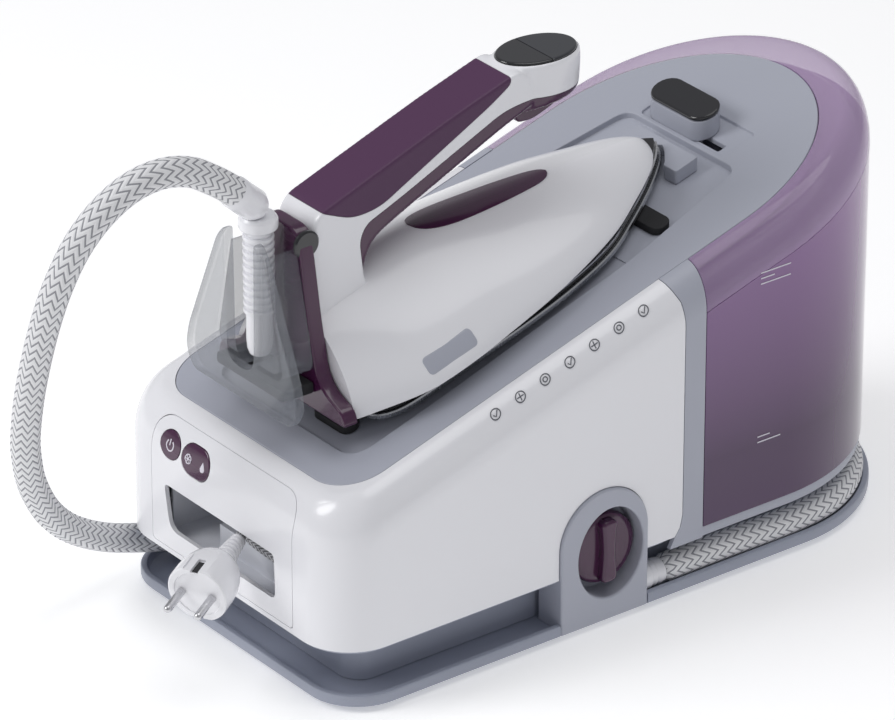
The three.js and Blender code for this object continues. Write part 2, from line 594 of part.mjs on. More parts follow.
const cordBoot = () => {
  const ribs = [0, 1, 2, 3, 4, 5].flatMap((i) => [[7.2, 209 + i * 8], [8.8, 211.5 + i * 8], [8.8, 214 + i * 8]]);
  return upright(lathe(
    [[0, 179], [5, 180.5], [7.2, 185], [7.6, 207], ...ribs, [9, 258], [11.3, 259.5], [11.3, 265], [9.2, 267.5],
      [0, 267.5]], 'z', [0, -196, 0], 16));
};

const ironParts = (iron) => {
  addPart(iron, 'soleplate', slab(soleShape(0), 'z', 1, 5), ALUMINIUM);
  addPart(iron, 'sole_skirt', slab(soleShape(2), 'z', 5.3, 13), BLACK);
  addPart(iron, 'heater_block', slab(soleShape(20), 'z', 13.3, 20), ALUMINIUM);
  addPart(iron, 'iron_shell', ironShell(), WHITE);
  addPart(iron, 'body_inset', bodyInset(), PLUM);
  addPart(iron, 'side_badge', sideBadge(), GREY);
  addPart(iron, 'handle_core', handleCore(), WHITE);
  addPart(iron, 'handle_grip', handleGrip(), GRIP);
  addPart(iron, 'handle_strip', handleStrip(), PLUM);
  addPart(iron, 'steam_trigger', steamTrigger(), PLUM);
  addPart(iron, 'mode_key', modeKey(), BLACK);
  addPart(iron, 'display_lens', displayLens(), BLACK);
  addPart(iron, 'heel_cover', heelCover(), PLUM);
  addPart(iron, 'heel_stand', heelStand(), SMOKE);
  addPart(iron, 'heel_bar', heelBar(), RUBBER);
  addPart(iron, 'cord_boot', cordBoot(), WHITE);
  addPart(iron, 'temperature_sensor', rod(5, 'z', [0, -60, 20.3], 9), COPPER);
};

// The tongue that holds the tip of the iron down, notched round the tip.
const lockTongue = () => {
  const tip = slab(soleShape(-1.4), 'z', -20, 60).transform(TILT.elements);
  return cut(deckSlab(outline([[-27, 80, 2], [27, 80, 2], [27, 96, 1], [-27, 96, 1]]), -3.7, 5), tip);
};

// ---------- assembly ----------
const model = new THREE.Group();
model.position.y = CENTRE_SHIFT;

addPart(model, 'base_tray', baseTray(), DARK_GREY);
addPart(model, 'base_tub', baseTub(), DARK_GREY);
for (const [name, x, y] of [
  ['foot_front_left', -78, -176], ['foot_front_right', 78, -176],
  ['foot_rear_left', -72, 158], ['foot_rear_right', 72, 158],
]) addPart(model, name, foot(x, y), RUBBER);
addPart(model, 'main_shell', mainShell(), WHITE);
addPart(model, 'front_panel', frontPanel(), WHITE);
addPart(model, 'power_button', button(powerShape()), PLUM);
addPart(model, 'clean_button', button(cleanShape()), PLUM);
addPart(model, 'cord_compartment', cordCompartment(), GREY);
addPart(model, 'top_cover', topCover(), GREY);
for (const [name, x, y] of [
  ['rest_pad_front_left', -27, -163], ['rest_pad_front_right', 27, -163],
  ['rest_pad_rear_left', -39, 49], ['rest_pad_rear_right', 39, 49],
]) addPart(model, name, restPad(x, y), RUBBER);
addPart(model, 'lock_slider', lockSlider(), GREY);
addPart(model, 'lock_slider_cap', sliderCap(), BLACK);
addPart(model, 'lock_tongue', lockTongue(), GREY);
addPart(model, 'rear_frame', rearFrame(), GREY);
addPart(model, 'water_tank', waterTank(), TANK);
addPart(model, 'tank_lid', tankLid(), TANK);
addPart(model, 'tank_valve', tankValve(), BLACK);
addPart(model, 'knob_plate', knobPlate(), GREY);
addPart(model, 'rinse_knob', rinseKnob(), PLUM);
addPart(model, 'boiler', boiler(), STEEL);
addPart(model, 'boiler_heater', boilerHeater(), COPPER);
addPart(model, 'water_pump', waterPump(), BLACK);
addPart(model, 'pump_mount', pumpMount(), RUBBER);
addPart(model, 'steam_valve', steamValve(), COPPER);
addPart(model, 'control_board', controlBoard(), BOARD);
addPart(model, 'water_pipe', waterPipe(), CORD);
addPart(model, 'feed_pipe', feedPipe(), CORD);
addPart(model, 'steam_pipe', steamPipe(), CORD);
addPart(model, 'hose_gland', hoseGland(), WHITE);
addPart(model, 'steam_hose', steamHose(), BRAID);
addPart(model, 'mains_gland', mainsGland(), BLACK);
addPart(model, 'mains_hank', mainsHank(), CORD);
addPart(model, 'mains_lead', mainsLead(), CORD);

const plug = new THREE.Group();
const pinLine = PIN_LINE.clone().addScaledVector(PLUG_AXIS, -PIN_LINE.dot(PLUG_AXIS)).normalize();
plug.matrixAutoUpdate = false;
plug.matrix.makeBasis(pinLine, PLUG_AXIS.clone().cross(pinLine), PLUG_AXIS).setPosition(PLUG_START);
addPart(plug, 'plug_relief', plugRelief(), WHITE);
addPart(plug, 'plug_body', plugBody(), WHITE);
addPart(plug, 'plug_pin_upper', plugPin(-1), STEEL);
addPart(plug, 'plug_pin_lower', plugPin(1), STEEL);
model.add(plug);

const iron = new THREE.Group();
iron.position.z = DECK;
iron.rotation.x = DECK_TILT;
ironParts(iron);
model.add(iron);

export default model;
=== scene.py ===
"""Steam generator iron: a station with a lift-out water tank, and the iron on its sloping deck."""

import math

import bmesh
import bpy
from mathutils import Matrix, Vector
from mathutils.geometry import interpolate_bezier


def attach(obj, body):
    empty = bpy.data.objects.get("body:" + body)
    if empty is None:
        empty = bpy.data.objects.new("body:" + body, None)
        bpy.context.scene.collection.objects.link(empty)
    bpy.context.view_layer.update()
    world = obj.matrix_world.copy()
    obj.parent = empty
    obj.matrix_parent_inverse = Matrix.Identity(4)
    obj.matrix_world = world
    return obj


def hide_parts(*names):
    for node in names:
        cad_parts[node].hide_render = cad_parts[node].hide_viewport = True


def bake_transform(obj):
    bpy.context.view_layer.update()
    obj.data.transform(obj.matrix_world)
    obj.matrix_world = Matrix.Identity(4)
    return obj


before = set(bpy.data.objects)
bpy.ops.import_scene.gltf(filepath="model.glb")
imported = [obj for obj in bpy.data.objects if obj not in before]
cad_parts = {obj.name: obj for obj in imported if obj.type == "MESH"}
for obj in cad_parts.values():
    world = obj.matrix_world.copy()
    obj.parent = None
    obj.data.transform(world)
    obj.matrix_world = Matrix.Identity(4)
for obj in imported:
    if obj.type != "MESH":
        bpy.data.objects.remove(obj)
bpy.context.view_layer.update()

MM = 0.001
SHIFT = 1.8                      # the row frame's Y is this much more than the station's own
TILT = math.radians(17)
SLOPE = math.tan(TILT)
DECK = 192.3
SHELL_REAR = 22.0
FRAME_REAR = 37.5
HEEL = -172.0
TOWER_HALF, TOWER_REAR = 54, 146
SHOULDER_IN = 18.0
SHOULDER_DROP = 27.0

STATION = Matrix.Translation((0, SHIFT, 0))
IRON = STATION @ Matrix.Translation((0, 0, DECK)) @ Matrix.Rotation(TILT, 4, "X")

# ---------- camera, lights and world ---------
def set_camera():
    data = bpy.data.cameras.new("camera")
    data.sensor_width = 36
    data.lens = 284
    data.clip_end = 20
    camera = bpy.data.objects.new("camera", data)
    back = Vector((0.7047, -0.5387, 0.4617))
    camera.rotation_euler = (-back).to_track_quat("-Z", "Y").to_euler()
    camera.location = (2.8405, -2.2339, 1.9955)
    bpy.context.scene.collection.objects.link(camera)
    bpy.context.scene.camera = camera


def area_light(name, place, aim, size, power):
    data = bpy.data.lights.new(name, "AREA")
    data.shape = "DISK"
    data.size = size
    data.energy = power
    light = bpy.data.objects.new(name, data)
    light.location = place
    light.rotation_euler = (Vector(aim) - Vector(place)).to_track_quat("-Z", "Y").to_euler()
    bpy.context.scene.collection.objects.link(light)


set_camera()
area_light("key_light", (-0.9, -1.8, 1.6), (0, 0, 0.15), 1.3, 25)
area_light("top_light", (0.2, 0.3, 2.1), (0, 0, 0.1), 1.6, 11)
area_light("side_light", (2.0, 0.4, 1.0), (0, 0, 0.15), 1.2, 0.8)
world = bpy.data.worlds.new("studio")
bpy.context.scene.world = world
world.use_nodes = True
world.node_tree.nodes["Background"].inputs["Color"].default_value = (0.95, 0.96, 1, 1)
world.node_tree.nodes["Background"].inputs["Strength"].default_value = 0.34
bpy.context.scene.view_settings.view_transform = "Standard"


# ---------- shader writing ----------
class Wire:
    """A socket in a finish's nodes. Arithmetic on it adds the Math nodes."""

    def __init__(self, finish, socket):
        self.finish = finish
        self.socket = socket

    def math(self, operation, *others):
        return self.finish.node("ShaderNodeMath", {"operation": operation}, dict(enumerate((self, *others))))

    def __add__(self, other):
        return self.math("ADD", other)

    def __sub__(self, other):
        return self.math("SUBTRACT", other)

    def __mul__(self, other):
        return self.math("MULTIPLY", other)

    def __truediv__(self, other):
        return self.math("DIVIDE", other)


class Finish:
    """A material made of nodes."""

    def __init__(self, name):
        self.material = bpy.data.materials.new(name)
        self.material.use_nodes = True
        self.tree = self.material.node_tree
        self.tree.nodes.clear()

    def node(self, kind, settings=None, inputs=None, output=0):
        made = self.tree.nodes.new(kind)
        for key, value in (settings or {}).items():
            if key == "stops":
                ramp = made.color_ramp
                for (position, colour), element in zip(value, ramp.elements):
                    element.position = position
                    element.color = colour
            else:
                setattr(made, key, value)
        for key, value in (inputs or {}).items():
            if isinstance(value, Wire):
                self.tree.links.new(value.socket, made.inputs[key])
            else:
                made.inputs[key].default_value = value
        return Wire(self, made.outputs[output]) if len(made.outputs) else None

    def place(self):
        return self.node("ShaderNodeTexCoord", output="Object")

    def axes(self, vector):
        split = self.node("ShaderNodeSeparateXYZ", inputs={0: vector})
        outputs = split.socket.node.outputs
        return [Wire(self, outputs[i]) for i in range(3)]

    def noise(self, scale, detail=3.0, vector=None):
        return self.node("ShaderNodeTexNoise", inputs={
            "Vector": vector or self.place(), "Scale": scale, "Detail": detail})

    def mix(self, factor, a, b):
        return self.node("ShaderNodeMix", {"data_type": "RGBA"}, {
            0: factor, 6: a, 7: b}, output=2)

    def bump(self, height, strength, distance=0.0004):
        return self.node("ShaderNodeBump", inputs={
            "Height": height, "Strength": strength, "Distance": distance})

    def surface(self, **inputs):
        shader = self.node("ShaderNodeBsdfPrincipled", inputs=inputs)
        self.node("ShaderNodeOutputMaterial", inputs={"Surface": shader})
        return self.material


def rgb(r, g, b):
    """A linear colour from 0-255 display values."""
    def linear(value):
        value /= 255
        return value / 12.92 if value <= 0.04045 else ((value + 0.055) / 1.055) ** 2.4
    return (linear(r), linear(g), linear(b), 1.0)


def moulded(name, colour, roughness, grain=0.04, coat=0.0, tone=0.94, scale=1400):
    """Moulded plastic: a faint tone drift, a fine grain in the gloss and in the surface."""
    finish = Finish(name)
    drift = finish.noise(7, 2)
    fine = finish.noise(scale, 4)
    darker = tuple(c * tone for c in colour[:3]) + (1.0,)
    return finish.surface(**{
        "Base Color": finish.mix(drift, darker, colour),
        "Roughness": fine * 0.12 + (roughness - 0.06),
        "Coat Weight": coat,
        "Normal": finish.bump(fine, grain, 0.0002),
    })


def metal(name, colour, roughness, stretch=(400, 20, 400)):
    finish = Finish(name)
    brushed = finish.node("ShaderNodeMapping", inputs={"Vector": finish.place(), "Scale": stretch})
    lines = finish.noise(2, 5, brushed)
    return finish.surface(**{
        "Base Color": colour, "Metallic": 1.0,
        "Roughness": lines * 0.25 + (roughness - 0.12),
        "Normal": finish.bump(lines, 0.08, 0.0002),
    })


def clear_plastic(name, colour, foot, low, high, roughness=0.08, dense=0.0):
    """See-through plastic: darker and denser towards its foot, thin face on and denser edge on."""
    finish = Finish(name)
    rise = ((finish.axes(finish.place())[2] - 0.08) / 0.13).math("MAXIMUM", 0.0).math("MINIMUM", 1.0)
    edge = finish.node("ShaderNodeLayerWeight", inputs={"Blend": 0.35}, output="Facing")
    haze = finish.noise(30, 3)
    return finish.surface(**{
        "Base Color": finish.mix(rise, foot, colour),
        "Roughness": haze * 0.06 + (roughness - 0.03),
        "Alpha": (edge * (high - low) + rise * -dense + (low + dense)).math("MINIMUM", 1.0),
        "Coat Weight": 0.4,
    })


def braid(name, pale, dark, columns, pitch, line):
    """Woven sleeve: chevron rows along the cord. The UV map holds metres along and turns round."""
    finish = Finish(name)
    uv = finish.node("ShaderNodeUVMap", {"uv_map": "weave"})
    along, around, _ = finish.axes(uv)
    fold = (around * columns).math("FRACT")
    zigzag = (fold - 0.5).math("ABSOLUTE") * 2.0
    rows = (along / pitch + zigzag * 0.9).math("FRACT")
    stripe = (rows - 0.5).math("ABSOLUTE") * 2.0
    thread = stripe.math("GREATER_THAN", line)
    soft = stripe.math("SMOOTH_MIN", 0.8, 0.3)
    strands = finish.noise(2600, 3)
    colour = finish.mix(thread, pale, dark)
    shade = finish.mix(strands * 0.5, colour, tuple(c * 0.75 for c in pale[:3]) + (1.0,))
    return finish.surface(**{
        "Base Color": shade, "Roughness": 0.75,
        "Normal": finish.bump(soft * -1.0 + strands * 0.3, 0.5, 0.0006),
    })


WHITE = moulded("white_gloss", rgb(238, 238, 242), 0.22, 0.02, 0.3, 0.98)
GREY = moulded("satin_grey", rgb(176, 179, 191), 0.42, 0.12)
# The cord liner's light grey is partly its own tone and partly painted light: lifted well above it to brighten the
# shaded cord mouth.
LINER_GREY_PAINTED_LIGHT = moulded("liner_grey_painted_light", rgb(222, 224, 231), 0.45, 0.1)
TRAY = moulded("base_grey", rgb(160, 165, 180), 0.4, 0.1)
PLUM = moulded("plum_gloss", rgb(66, 20, 60), 0.2, 0.02, 0.4)
GRIP = moulded("grip_purple", rgb(80, 44, 80), 0.5, 0.25, scale=2200)
BLACK = moulded("black_gloss", rgb(30, 30, 34), 0.18, 0.02, 0.5)
RUBBER = moulded("black_rubber", rgb(34, 34, 37), 0.75, 0.3)
LENS = moulded("display_black", rgb(38, 40, 46), 0.12, 0.01, 0.6)
PIPE = moulded("silicone", rgb(214, 214, 206), 0.5, 0.1)
BOARD = moulded("board_green", rgb(30, 92, 58), 0.4, 0.1)
PRINT = moulded("print_grey", rgb(96, 98, 106), 0.5, 0.05)
MARK = moulded("print_white", rgb(226, 222, 232), 0.5, 0.05)
STEEL = metal("steel", (0.62, 0.62, 0.64, 1), 0.3)
SOLE = metal("soleplate", (0.5, 0.51, 0.53, 1), 0.28, (60, 900, 60))
COPPER = metal("copper", (0.72, 0.38, 0.22, 1), 0.35)
TANK = clear_plastic("tank_purple", rgb(166, 128, 180), rgb(74, 46, 84), 0.58, 0.85, dense=0.3)
TANK_RIM = clear_plastic("rim_purple", rgb(192, 166, 204), rgb(140, 110, 156), 0.42, 0.85)
SMOKE = clear_plastic("clear_smoke", rgb(128, 132, 140), rgb(128, 132, 140), 0.08, 0.95, 0.04)
HOSE = braid("hose_braid", rgb(240, 240, 242), rgb(118, 120, 128), 8, 0.0062, 0.7)
LEAD = braid("lead_braid", rgb(196, 196, 200), rgb(62, 62, 68), 6, 0.004, 0.5)


# ---------- making pieces ----------
def piece(name, bm, finish, place=STATION):
    """A finished piece from a bmesh drawn in millimetres."""
    bmesh.ops.recalc_face_normals(bm, faces=bm.faces)
    bm.transform(Matrix.Scale(MM, 4) @ place)
    mesh = bpy.data.meshes.new(name)
    bm.to_mesh(mesh)
    bm.free()
    mesh.materials.append(finish)
    made = bpy.data.objects.new(name, mesh)
    bpy.context.scene.collection.objects.link(made)
    return made


def settle(obj):
    """Applies a piece's modifiers."""
    bpy.context.view_layer.update()
    done = bpy.data.meshes.new_from_object(obj.evaluated_get(bpy.context.evaluated_depsgraph_get()))
    obj.modifiers.clear()
    obj.data = done
    return obj


def carve(obj, *tools, operation="DIFFERENCE"):
    for tool in tools:
        cut = obj.modifiers.new("cut", "BOOLEAN")
        cut.operation = operation
        cut.solver = "EXACT"
        cut.object = tool
        settle(obj)
        bpy.data.objects.remove(tool)
    return obj


def soften(obj, width=0.5, segments=2, angle=32):
    """Rounds the edges, and shades the faces smooth between them."""
    bm = bmesh.new()
    bm.from_mesh(obj.data)
    bmesh.ops.remove_doubles(bm, verts=bm.verts, dist=2e-6)
    bmesh.ops.dissolve_degenerate(bm, edges=bm.edges, dist=1e-6)
    bm.to_mesh(obj.data)
    bm.free()
    if width:
        bevel = obj.modifiers.new("edge", "BEVEL")
        bevel.width = width * MM
        bevel.segments = segments
        bevel.limit_method = "ANGLE"
        bevel.angle_limit = math.radians(angle)
        bevel.use_clamp_overlap = True
        settle(obj)
    obj.data.shade_smooth()
    obj.data.set_sharp_from_angle(angle=math.radians(angle))
    weighted = obj.modifiers.new("normals", "WEIGHTED_NORMAL")
    weighted.keep_sharp = True
    return settle(obj)


def finish_off(obj, body, slot, *nodes):
    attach(obj, body)
    if nodes:
        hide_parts(*nodes)
    return obj


def refined(node, name, finish, body, slot, width=0.5, segments=2, angle=32):
    """A CAD node's shape with its flat facets merged and its edges rounded."""
    bm = bmesh.new()
    bm.from_mesh(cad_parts[node].data)
    bmesh.ops.remove_doubles(bm, verts=bm.verts, dist=1e-6)
    bmesh.ops.dissolve_limit(bm, angle_limit=math.radians(0.6), verts=bm.verts, edges=bm.edges)
    mesh = bpy.data.meshes.new(name)
    bm.to_mesh(mesh)
    bm.free()
    mesh.materials.append(finish)
    made = bpy.data.objects.new(name, mesh)
    bpy.context.scene.collection.objects.link(made)
    soften(made, width, segments, angle)
    return finish_off(made, body, slot, node)


def loft(rings, closed=False):
    """Skins rings of points, by extruding the first ring's edges through the others."""
    bm = bmesh.new()
    ring = [bm.verts.new(p) for p in rings[0]]
    face = bm.faces.new(ring)
    edges = face.edges[:]
    if closed:
        bmesh.ops.delete(bm, geom=[face], context="FACES_ONLY")
    for points in rings[1:]:
        made = bmesh.ops.extrude_edge_only(bm, edges=edges)["geom"]
        fresh = [v for v in made if isinstance(v, bmesh.types.BMVert)]
        edges = [e for e in made if isinstance(e, bmesh.types.BMEdge)]
        edges = [e for e in edges if e.verts[0] in fresh and e.verts[1] in fresh]
        where = {tuple(round(c, 6) for c in v.co): i for i, v in enumerate(ring)}
        order = {where[tuple(round(c, 6) for c in v.co)]: v for v in fresh}
        ring = [order[i] for i in range(len(ring))]
        for vertex, point in zip(ring, points):
            vertex.co = point
    if closed:
        bmesh.ops.remove_doubles(bm, verts=bm.verts, dist=1e-5)
    else:
        bm.faces.new(ring)
    return bm


def prism(points, axis, low, high):
    """An outline pushed from one plane to another along x, y or z."""
    turn = {
        "x": lambda a, b, c: (c, a, b),
        "y": lambda a, b, c: (a, c, b),
        "z": lambda a, b, c: (a, b, c),
    }[axis]
    bm = bmesh.new()
    face = bm.faces.new([bm.verts.new(turn(a, b, low)) for a, b in points])
    made = bmesh.ops.extrude_face_region(bm, geom=[face])["geom"]
    move = Vector(turn(0, 0, high - low))
    bmesh.ops.translate(bm, vec=move, verts=[v for v in made if isinstance(v, bmesh.types.BMVert)])
    return bm


def rounded(points, steps=8):
    """A closed outline through (a, b, corner radius) points. A radius is cut down to fit its sides."""
    result = []
    for i, (a, b, radius) in enumerate(points):
        here = Vector((a, b))
        back = Vector(points[i - 1][:2]) - here
        on = Vector(points[(i + 1) % len(points)][:2]) - here
        radius = min(radius, 0.48 * back.length, 0.48 * on.length)
        start = here + back.normalized() * radius
        end = here + on.normalized() * radius
        for k in range(steps + 1):
            t = k / steps
            point = start * (1 - t) ** 2 + here * 2 * t * (1 - t) + end * t * t
            result.append((point.x, point.y))
    return result


def rectangle(a0, b0, a1, b1, radius):
    return rounded([(a0, b0, radius), (a1, b0, radius), (a1, b1, radius), (a0, b1, radius)])


def ellipse(cx, cy, rx, ry, count=48):
    return [(cx + rx * math.cos(2 * math.pi * i / count), cy + ry * math.sin(2 * math.pi * i / count))
            for i in range(count)]


def stadium(cx, cy, length, width, count=12):
    half = (length - width) / 2
    return [(cx + sign * half + width / 2 * math.cos(base + math.pi * i / count),
             cy + width / 2 * math.sin(base + math.pi * i / count))
            for sign, base in ((1, -math.pi / 2), (-1, math.pi / 2)) for i in range(count + 1)]


# Half width, front y, front corner radius, y where the rear curve starts, depth of the rear curve.
BODY_PLAN = (108, -223.3, 33, 100, 117)
TRAY_PLAN = (110, -220, 33, 115, 105)
COVER_PLAN = (89.5, -204, 27, 80, 104)


def plan(shape, inset=0.0, corner=None):
    """Station outline from above: straight sides, round front corners, semi-elliptic rear."""
    half, front, radius, rear, depth = shape
    w = half - inset
    f = front + inset
    r = max((radius if corner is None else corner) - inset, 2)
    points = [(w - r + r * math.sin(a), f + r - r * math.cos(a))
              for a in [math.pi / 2 * i / 12 for i in range(13)]]
    points += [(w, f + r + (rear - f - r) * i / 6) for i in range(1, 6)]
    points += [(w * math.cos(a), rear + (depth - inset) * math.sin(a))
               for a in [math.pi * i / 72 for i in range(73)]]
    points += [(-w, rear + (f + r - rear) * i / 6) for i in range(1, 6)]
    points += [(-w + r - r * math.cos(a), f + r - r * math.sin(a))
               for a in [math.pi / 2 * i / 12 for i in range(13)]]
    return points


def sheared(points, z):
    return [(x, y, z + SLOPE * y) for x, y in points]


def body_form(wall=0.0, roof=0.0, bottom=-60.0):
    rings = [[(x, y, bottom) for x, y in plan(BODY_PLAN, wall)]]
    for k in range(11):
        a = math.pi / 2 * k / 10
        inset = SHOULDER_IN * (1 - math.cos(a)) + wall
        rings.append(sheared(plan(BODY_PLAN, inset), DECK - roof - SHOULDER_DROP * (1 - math.sin(a))))
    return loft(rings)


def slice_off(bm, point, normal):
    """Drops what lies on the normal's side of a plane, and closes the cut."""
    geometry = bm.verts[:] + bm.edges[:] + bm.faces[:]
    cut = bmesh.ops.bisect_plane(
        bm, geom=geometry, plane_co=point, plane_no=normal, clear_outer=True, dist=1e-5)["geom_cut"]
    edges = [e for e in cut if isinstance(e, bmesh.types.BMEdge)]
    bmesh.ops.edgeloop_fill(bm, edges=edges)
    return bm


def deck_prism(points, low, high):
    bm = prism(points, "z", DECK + low, DECK + high)
    for vertex in bm.verts:
        vertex.co.z += SLOPE * vertex.co.y
    return bm


def tool(bm, place=STATION):
    return piece("tool", bm, WHITE, place)


def merged(*parts):
    """Several separate shapes as one piece's mesh."""
    whole = bmesh.new()
    for part in parts:
        mesh = bpy.data.meshes.new("part")
        part.to_mesh(mesh)
        part.free()
        whole.from_mesh(mesh)
        bpy.data.meshes.remove(mesh)
    return whole


def turned(profile, steps=48):
    """A profile of (radius, height) points spun about the z axis."""
    bm = bmesh.new()
    verts = [bm.verts.new((r, 0, h)) for r, h in profile]
    edges = [bm.edges.new(pair) for pair in zip(verts, verts[1:])]
    bmesh.ops.spin(bm, geom=verts + edges, cent=(0, 0, 0), axis=(0, 0, 1), angle=2 * math.pi,
                   steps=steps, use_merge=True)
    bmesh.ops.remove_doubles(bm, verts=bm.verts, dist=1e-4)
    return bm


def smooth_path(points, spacing):
    """Evenly spaced points on a smooth curve through the given ones."""
    pts = [Vector(p) for p in points]
    dense = []
    for i in range(len(pts) - 1):
        before = pts[i - 1] if i else pts[0] * 2 - pts[1]
        after = pts[i + 2] if i + 2 < len(pts) else pts[-1] * 2 - pts[-2]
        a, b = pts[i], pts[i + 1]
        da = (b - before) * ((b - a).length / max(((a - before).length + (b - a).length), 1e-6))
        db = (after - a) * ((b - a).length / max(((after - b).length + (b - a).length), 1e-6))
        dense += interpolate_bezier(a, a + da / 3, b - db / 3, b, 24)[:-1]
    dense.append(pts[-1])
    total = sum((q - p).length for p, q in zip(dense, dense[1:]))
    count = max(int(total / spacing), 2)
    step = total / count
    result = [dense[0]]
    walked = 0.0
    for p, q in zip(dense, dense[1:]):
        length = (q - p).length
        while walked + length >= step - 1e-9 and len(result) < count:
            p = p + (q - p).normalized() * (step - walked)
            length = (q - p).length
            result.append(p.copy())
            walked = 0.0
        walked += length
    result.append(dense[-1])
    return result


def hose_mesh(points, radius, sides, ends=0.8):
    """A round tube along points, with rounded ends and a UV map of metres along and turns round."""
    tangents = [(points[min(i + 1, len(points) - 1)] - points[max(i - 1, 0)]).normalized()
                for i in range(len(points))]
    across = tangents[0].orthogonal().normalized()
    rings = []
    for i, (point, tangent) in enumerate(zip(points, tangents)):
        across = (across - tangent * across.dot(tangent)).normalized()
        other = tangent.cross(across)
        r = radius * (ends if i in (0, len(points) - 1) else 1)
        rings.append([point + (across * math.cos(a) + other * math.sin(a)) * r
                      for a in [2 * math.pi * k / sides for k in range(sides)]])
    bm = loft(rings)
    layer = bm.loops.layers.uv.new("weave")
    bm.verts.ensure_lookup_table()
    spacing = (points[1] - points[0]).length * MM
    bm.verts.index_update()
    for face in bm.faces:
        if len(face.verts) != 4:
            continue
        rows = [loop.vert.index // sides for loop in face.loops]
        columns = [loop.vert.index % sides for loop in face.loops]
        wraps = 0 in columns and sides - 1 in columns
        for loop, row, column in zip(face.loops, rows, columns):
            turn = column + (sides if wraps and column == 0 else 0)
            loop[layer].uv = (row * spacing, turn / sides)
    return bm


# ---------- steam hose -------------------------
HOSE_X = 98.0
HOSE_Z = 15.0
groove = [(HOSE_X * math.cos(math.pi * i / 10), 115 + 93 * math.sin(math.pi * i / 10), HOSE_Z)
          for i in range(11)]
HOSE_ARCH = [
    (-98, -150, 15), (-98.5, -180, 16.5), (-100.5, -198, 20), (-101, -214, 24.5), (-98.7, -233, 32),
    (-94.9, -251, 42), (-89.8, -268, 54.5), (-83, -284, 71), (-76, -296, 88), (-68.8, -306, 106.5),
    (-61.7, -313, 124.5), (-55, -318, 142), (-42.6, -323, 174), (-30.7, -325.3, 204), (-19, -325.5, 234),
    (-9, -323, 260), (-1, -315.5, 284), (6, -303.5, 303), (10, -287, 314.5), (11.5, -268, 317.5),
    (10.5, -249, 312.5), (8, -234, 303), (4.5, -219.5, 292), (1.8, -208.5, 282), (0, -199.5, 274),
]
hose_route = [(HOSE_X, 14, HOSE_Z), (HOSE_X, 60, HOSE_Z), *groove, (-HOSE_X, 60, HOSE_Z),
              (-HOSE_X, -30, HOSE_Z), (-HOSE_X, -110, HOSE_Z), *HOSE_ARCH]
hose_path = smooth_path(hose_route, 4.0)
hose = piece("steam_hose_braid", hose_mesh(hose_path, 8.6, 24), HOSE)
hose.data.shade_smooth()
hose_world = [STATION @ p * MM for p in hose_path]
hose_length = sum((q - p).length for p, q in zip(hose_world, hose_world[1:]))
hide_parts("steam_hose")
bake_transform(hose)


# ---------- station ----------
PLATE_Y, PLATE_HALF, ARCH_Z, PLATE_FOOT = -35.5, 31.5, 56, 2


def plate_outline(grow):
    """Side view of the rinse knob's arched plate."""
    w = PLATE_HALF + grow
    return [(PLATE_Y - w, PLATE_FOOT - grow), (PLATE_Y + w, PLATE_FOOT - grow)] + [
        (PLATE_Y + w * math.cos(math.pi * i / 32), ARCH_Z + w * math.sin(math.pi * i / 32)) for i in range(33)]


def level(shape, steps):
    """Rings at (inset, height) steps of a station outline."""
    return [[(x, y, z) for x, y in plan(shape, inset)] for inset, z in steps]


tray = piece("base_tray_shell", loft(level(TRAY_PLAN, [
    (2, 3), (0.6, 3.5), (0, 4.6), (0, 9.3), (0.5, 10.2), (1.4, 10.5), (2.8, 10.5), (3.6, 10.2), (4.1, 9.3),
    (4.4, 7), (5.4, 6)])), TRAY)
carve(tray, tool(prism(plate_outline(0.3), "x", 87.5, 130)))
finish_off(soften(tray, 0), "station", "tray_grey", "base_tray")

tub_plan = (86, -196, 14, 115, 81)
wall = loft(level(tub_plan, [(0, 6.3), (0, 31.4), (3, 31.4), (3, 6.3), (0, 6.3)]), closed=True)
ledge = slice_off(loft([
    *level(tub_plan, [(0, 30.8), (0, 36)]), *level(BODY_PLAN, [(6, 36), (2, 37), (2, 38.7)]),
    *level(tub_plan, [(3, 38.7), (3, 30.8), (0, 30.8)])], closed=True), (0, SHELL_REAR - 12, 0), (0, 1, 0))
tub = piece("base_tub_wall", wall, TRAY)
carve(tub, tool(ledge), operation="UNION")
carve(tub, tool(prism(plate_outline(0.4), "x", 85, 130)))
finish_off(soften(tub, 0.4), "station", "tray_grey", "base_tub")

# Side view of where the white shell ends and the grey frame starts.
REAR_LINE = [(12, 30), (16.5, 38.5), (20.5, 44), (22.3, 52), (22.3, 176), (21.2, 187), (16, 199), (8, 206.5),
             (3, 212), (2, 320)]


def rear_of(gap):
    return [(y + gap, z) for y, z in REAR_LINE] + [(300, 320), (300, 30)]


PANEL = [(-69, 42.5, 3), (65.5, 42.5, 3), (65.5, 123, 15), (-69, 123, 15)]


def panel_outline(grow):
    return rounded([(x + math.copysign(grow, x), z + (grow if z > 80 else -grow), r) for x, z, r in PANEL])


cord_mouth = rounded([(-57, 82.5, 4), (-52, 54.5, 8), (49.5, 54, 5), (48.5, 82.5, 4)][::-1])
power_outline = ellipse(-52, 108.5, 9.4, 8.2)
clean_outline = stadium(-27.5, 107.5, 26.5, 18.5)


def grown(points, by):
    cx = sum(p[0] for p in points) / len(points)
    cz = sum(p[1] for p in points) / len(points)
    return [(a + by * (a - cx) / math.hypot(a - cx, b - cz), b + by * (b - cz) / math.hypot(a - cx, b - cz))
            for a, b in points]


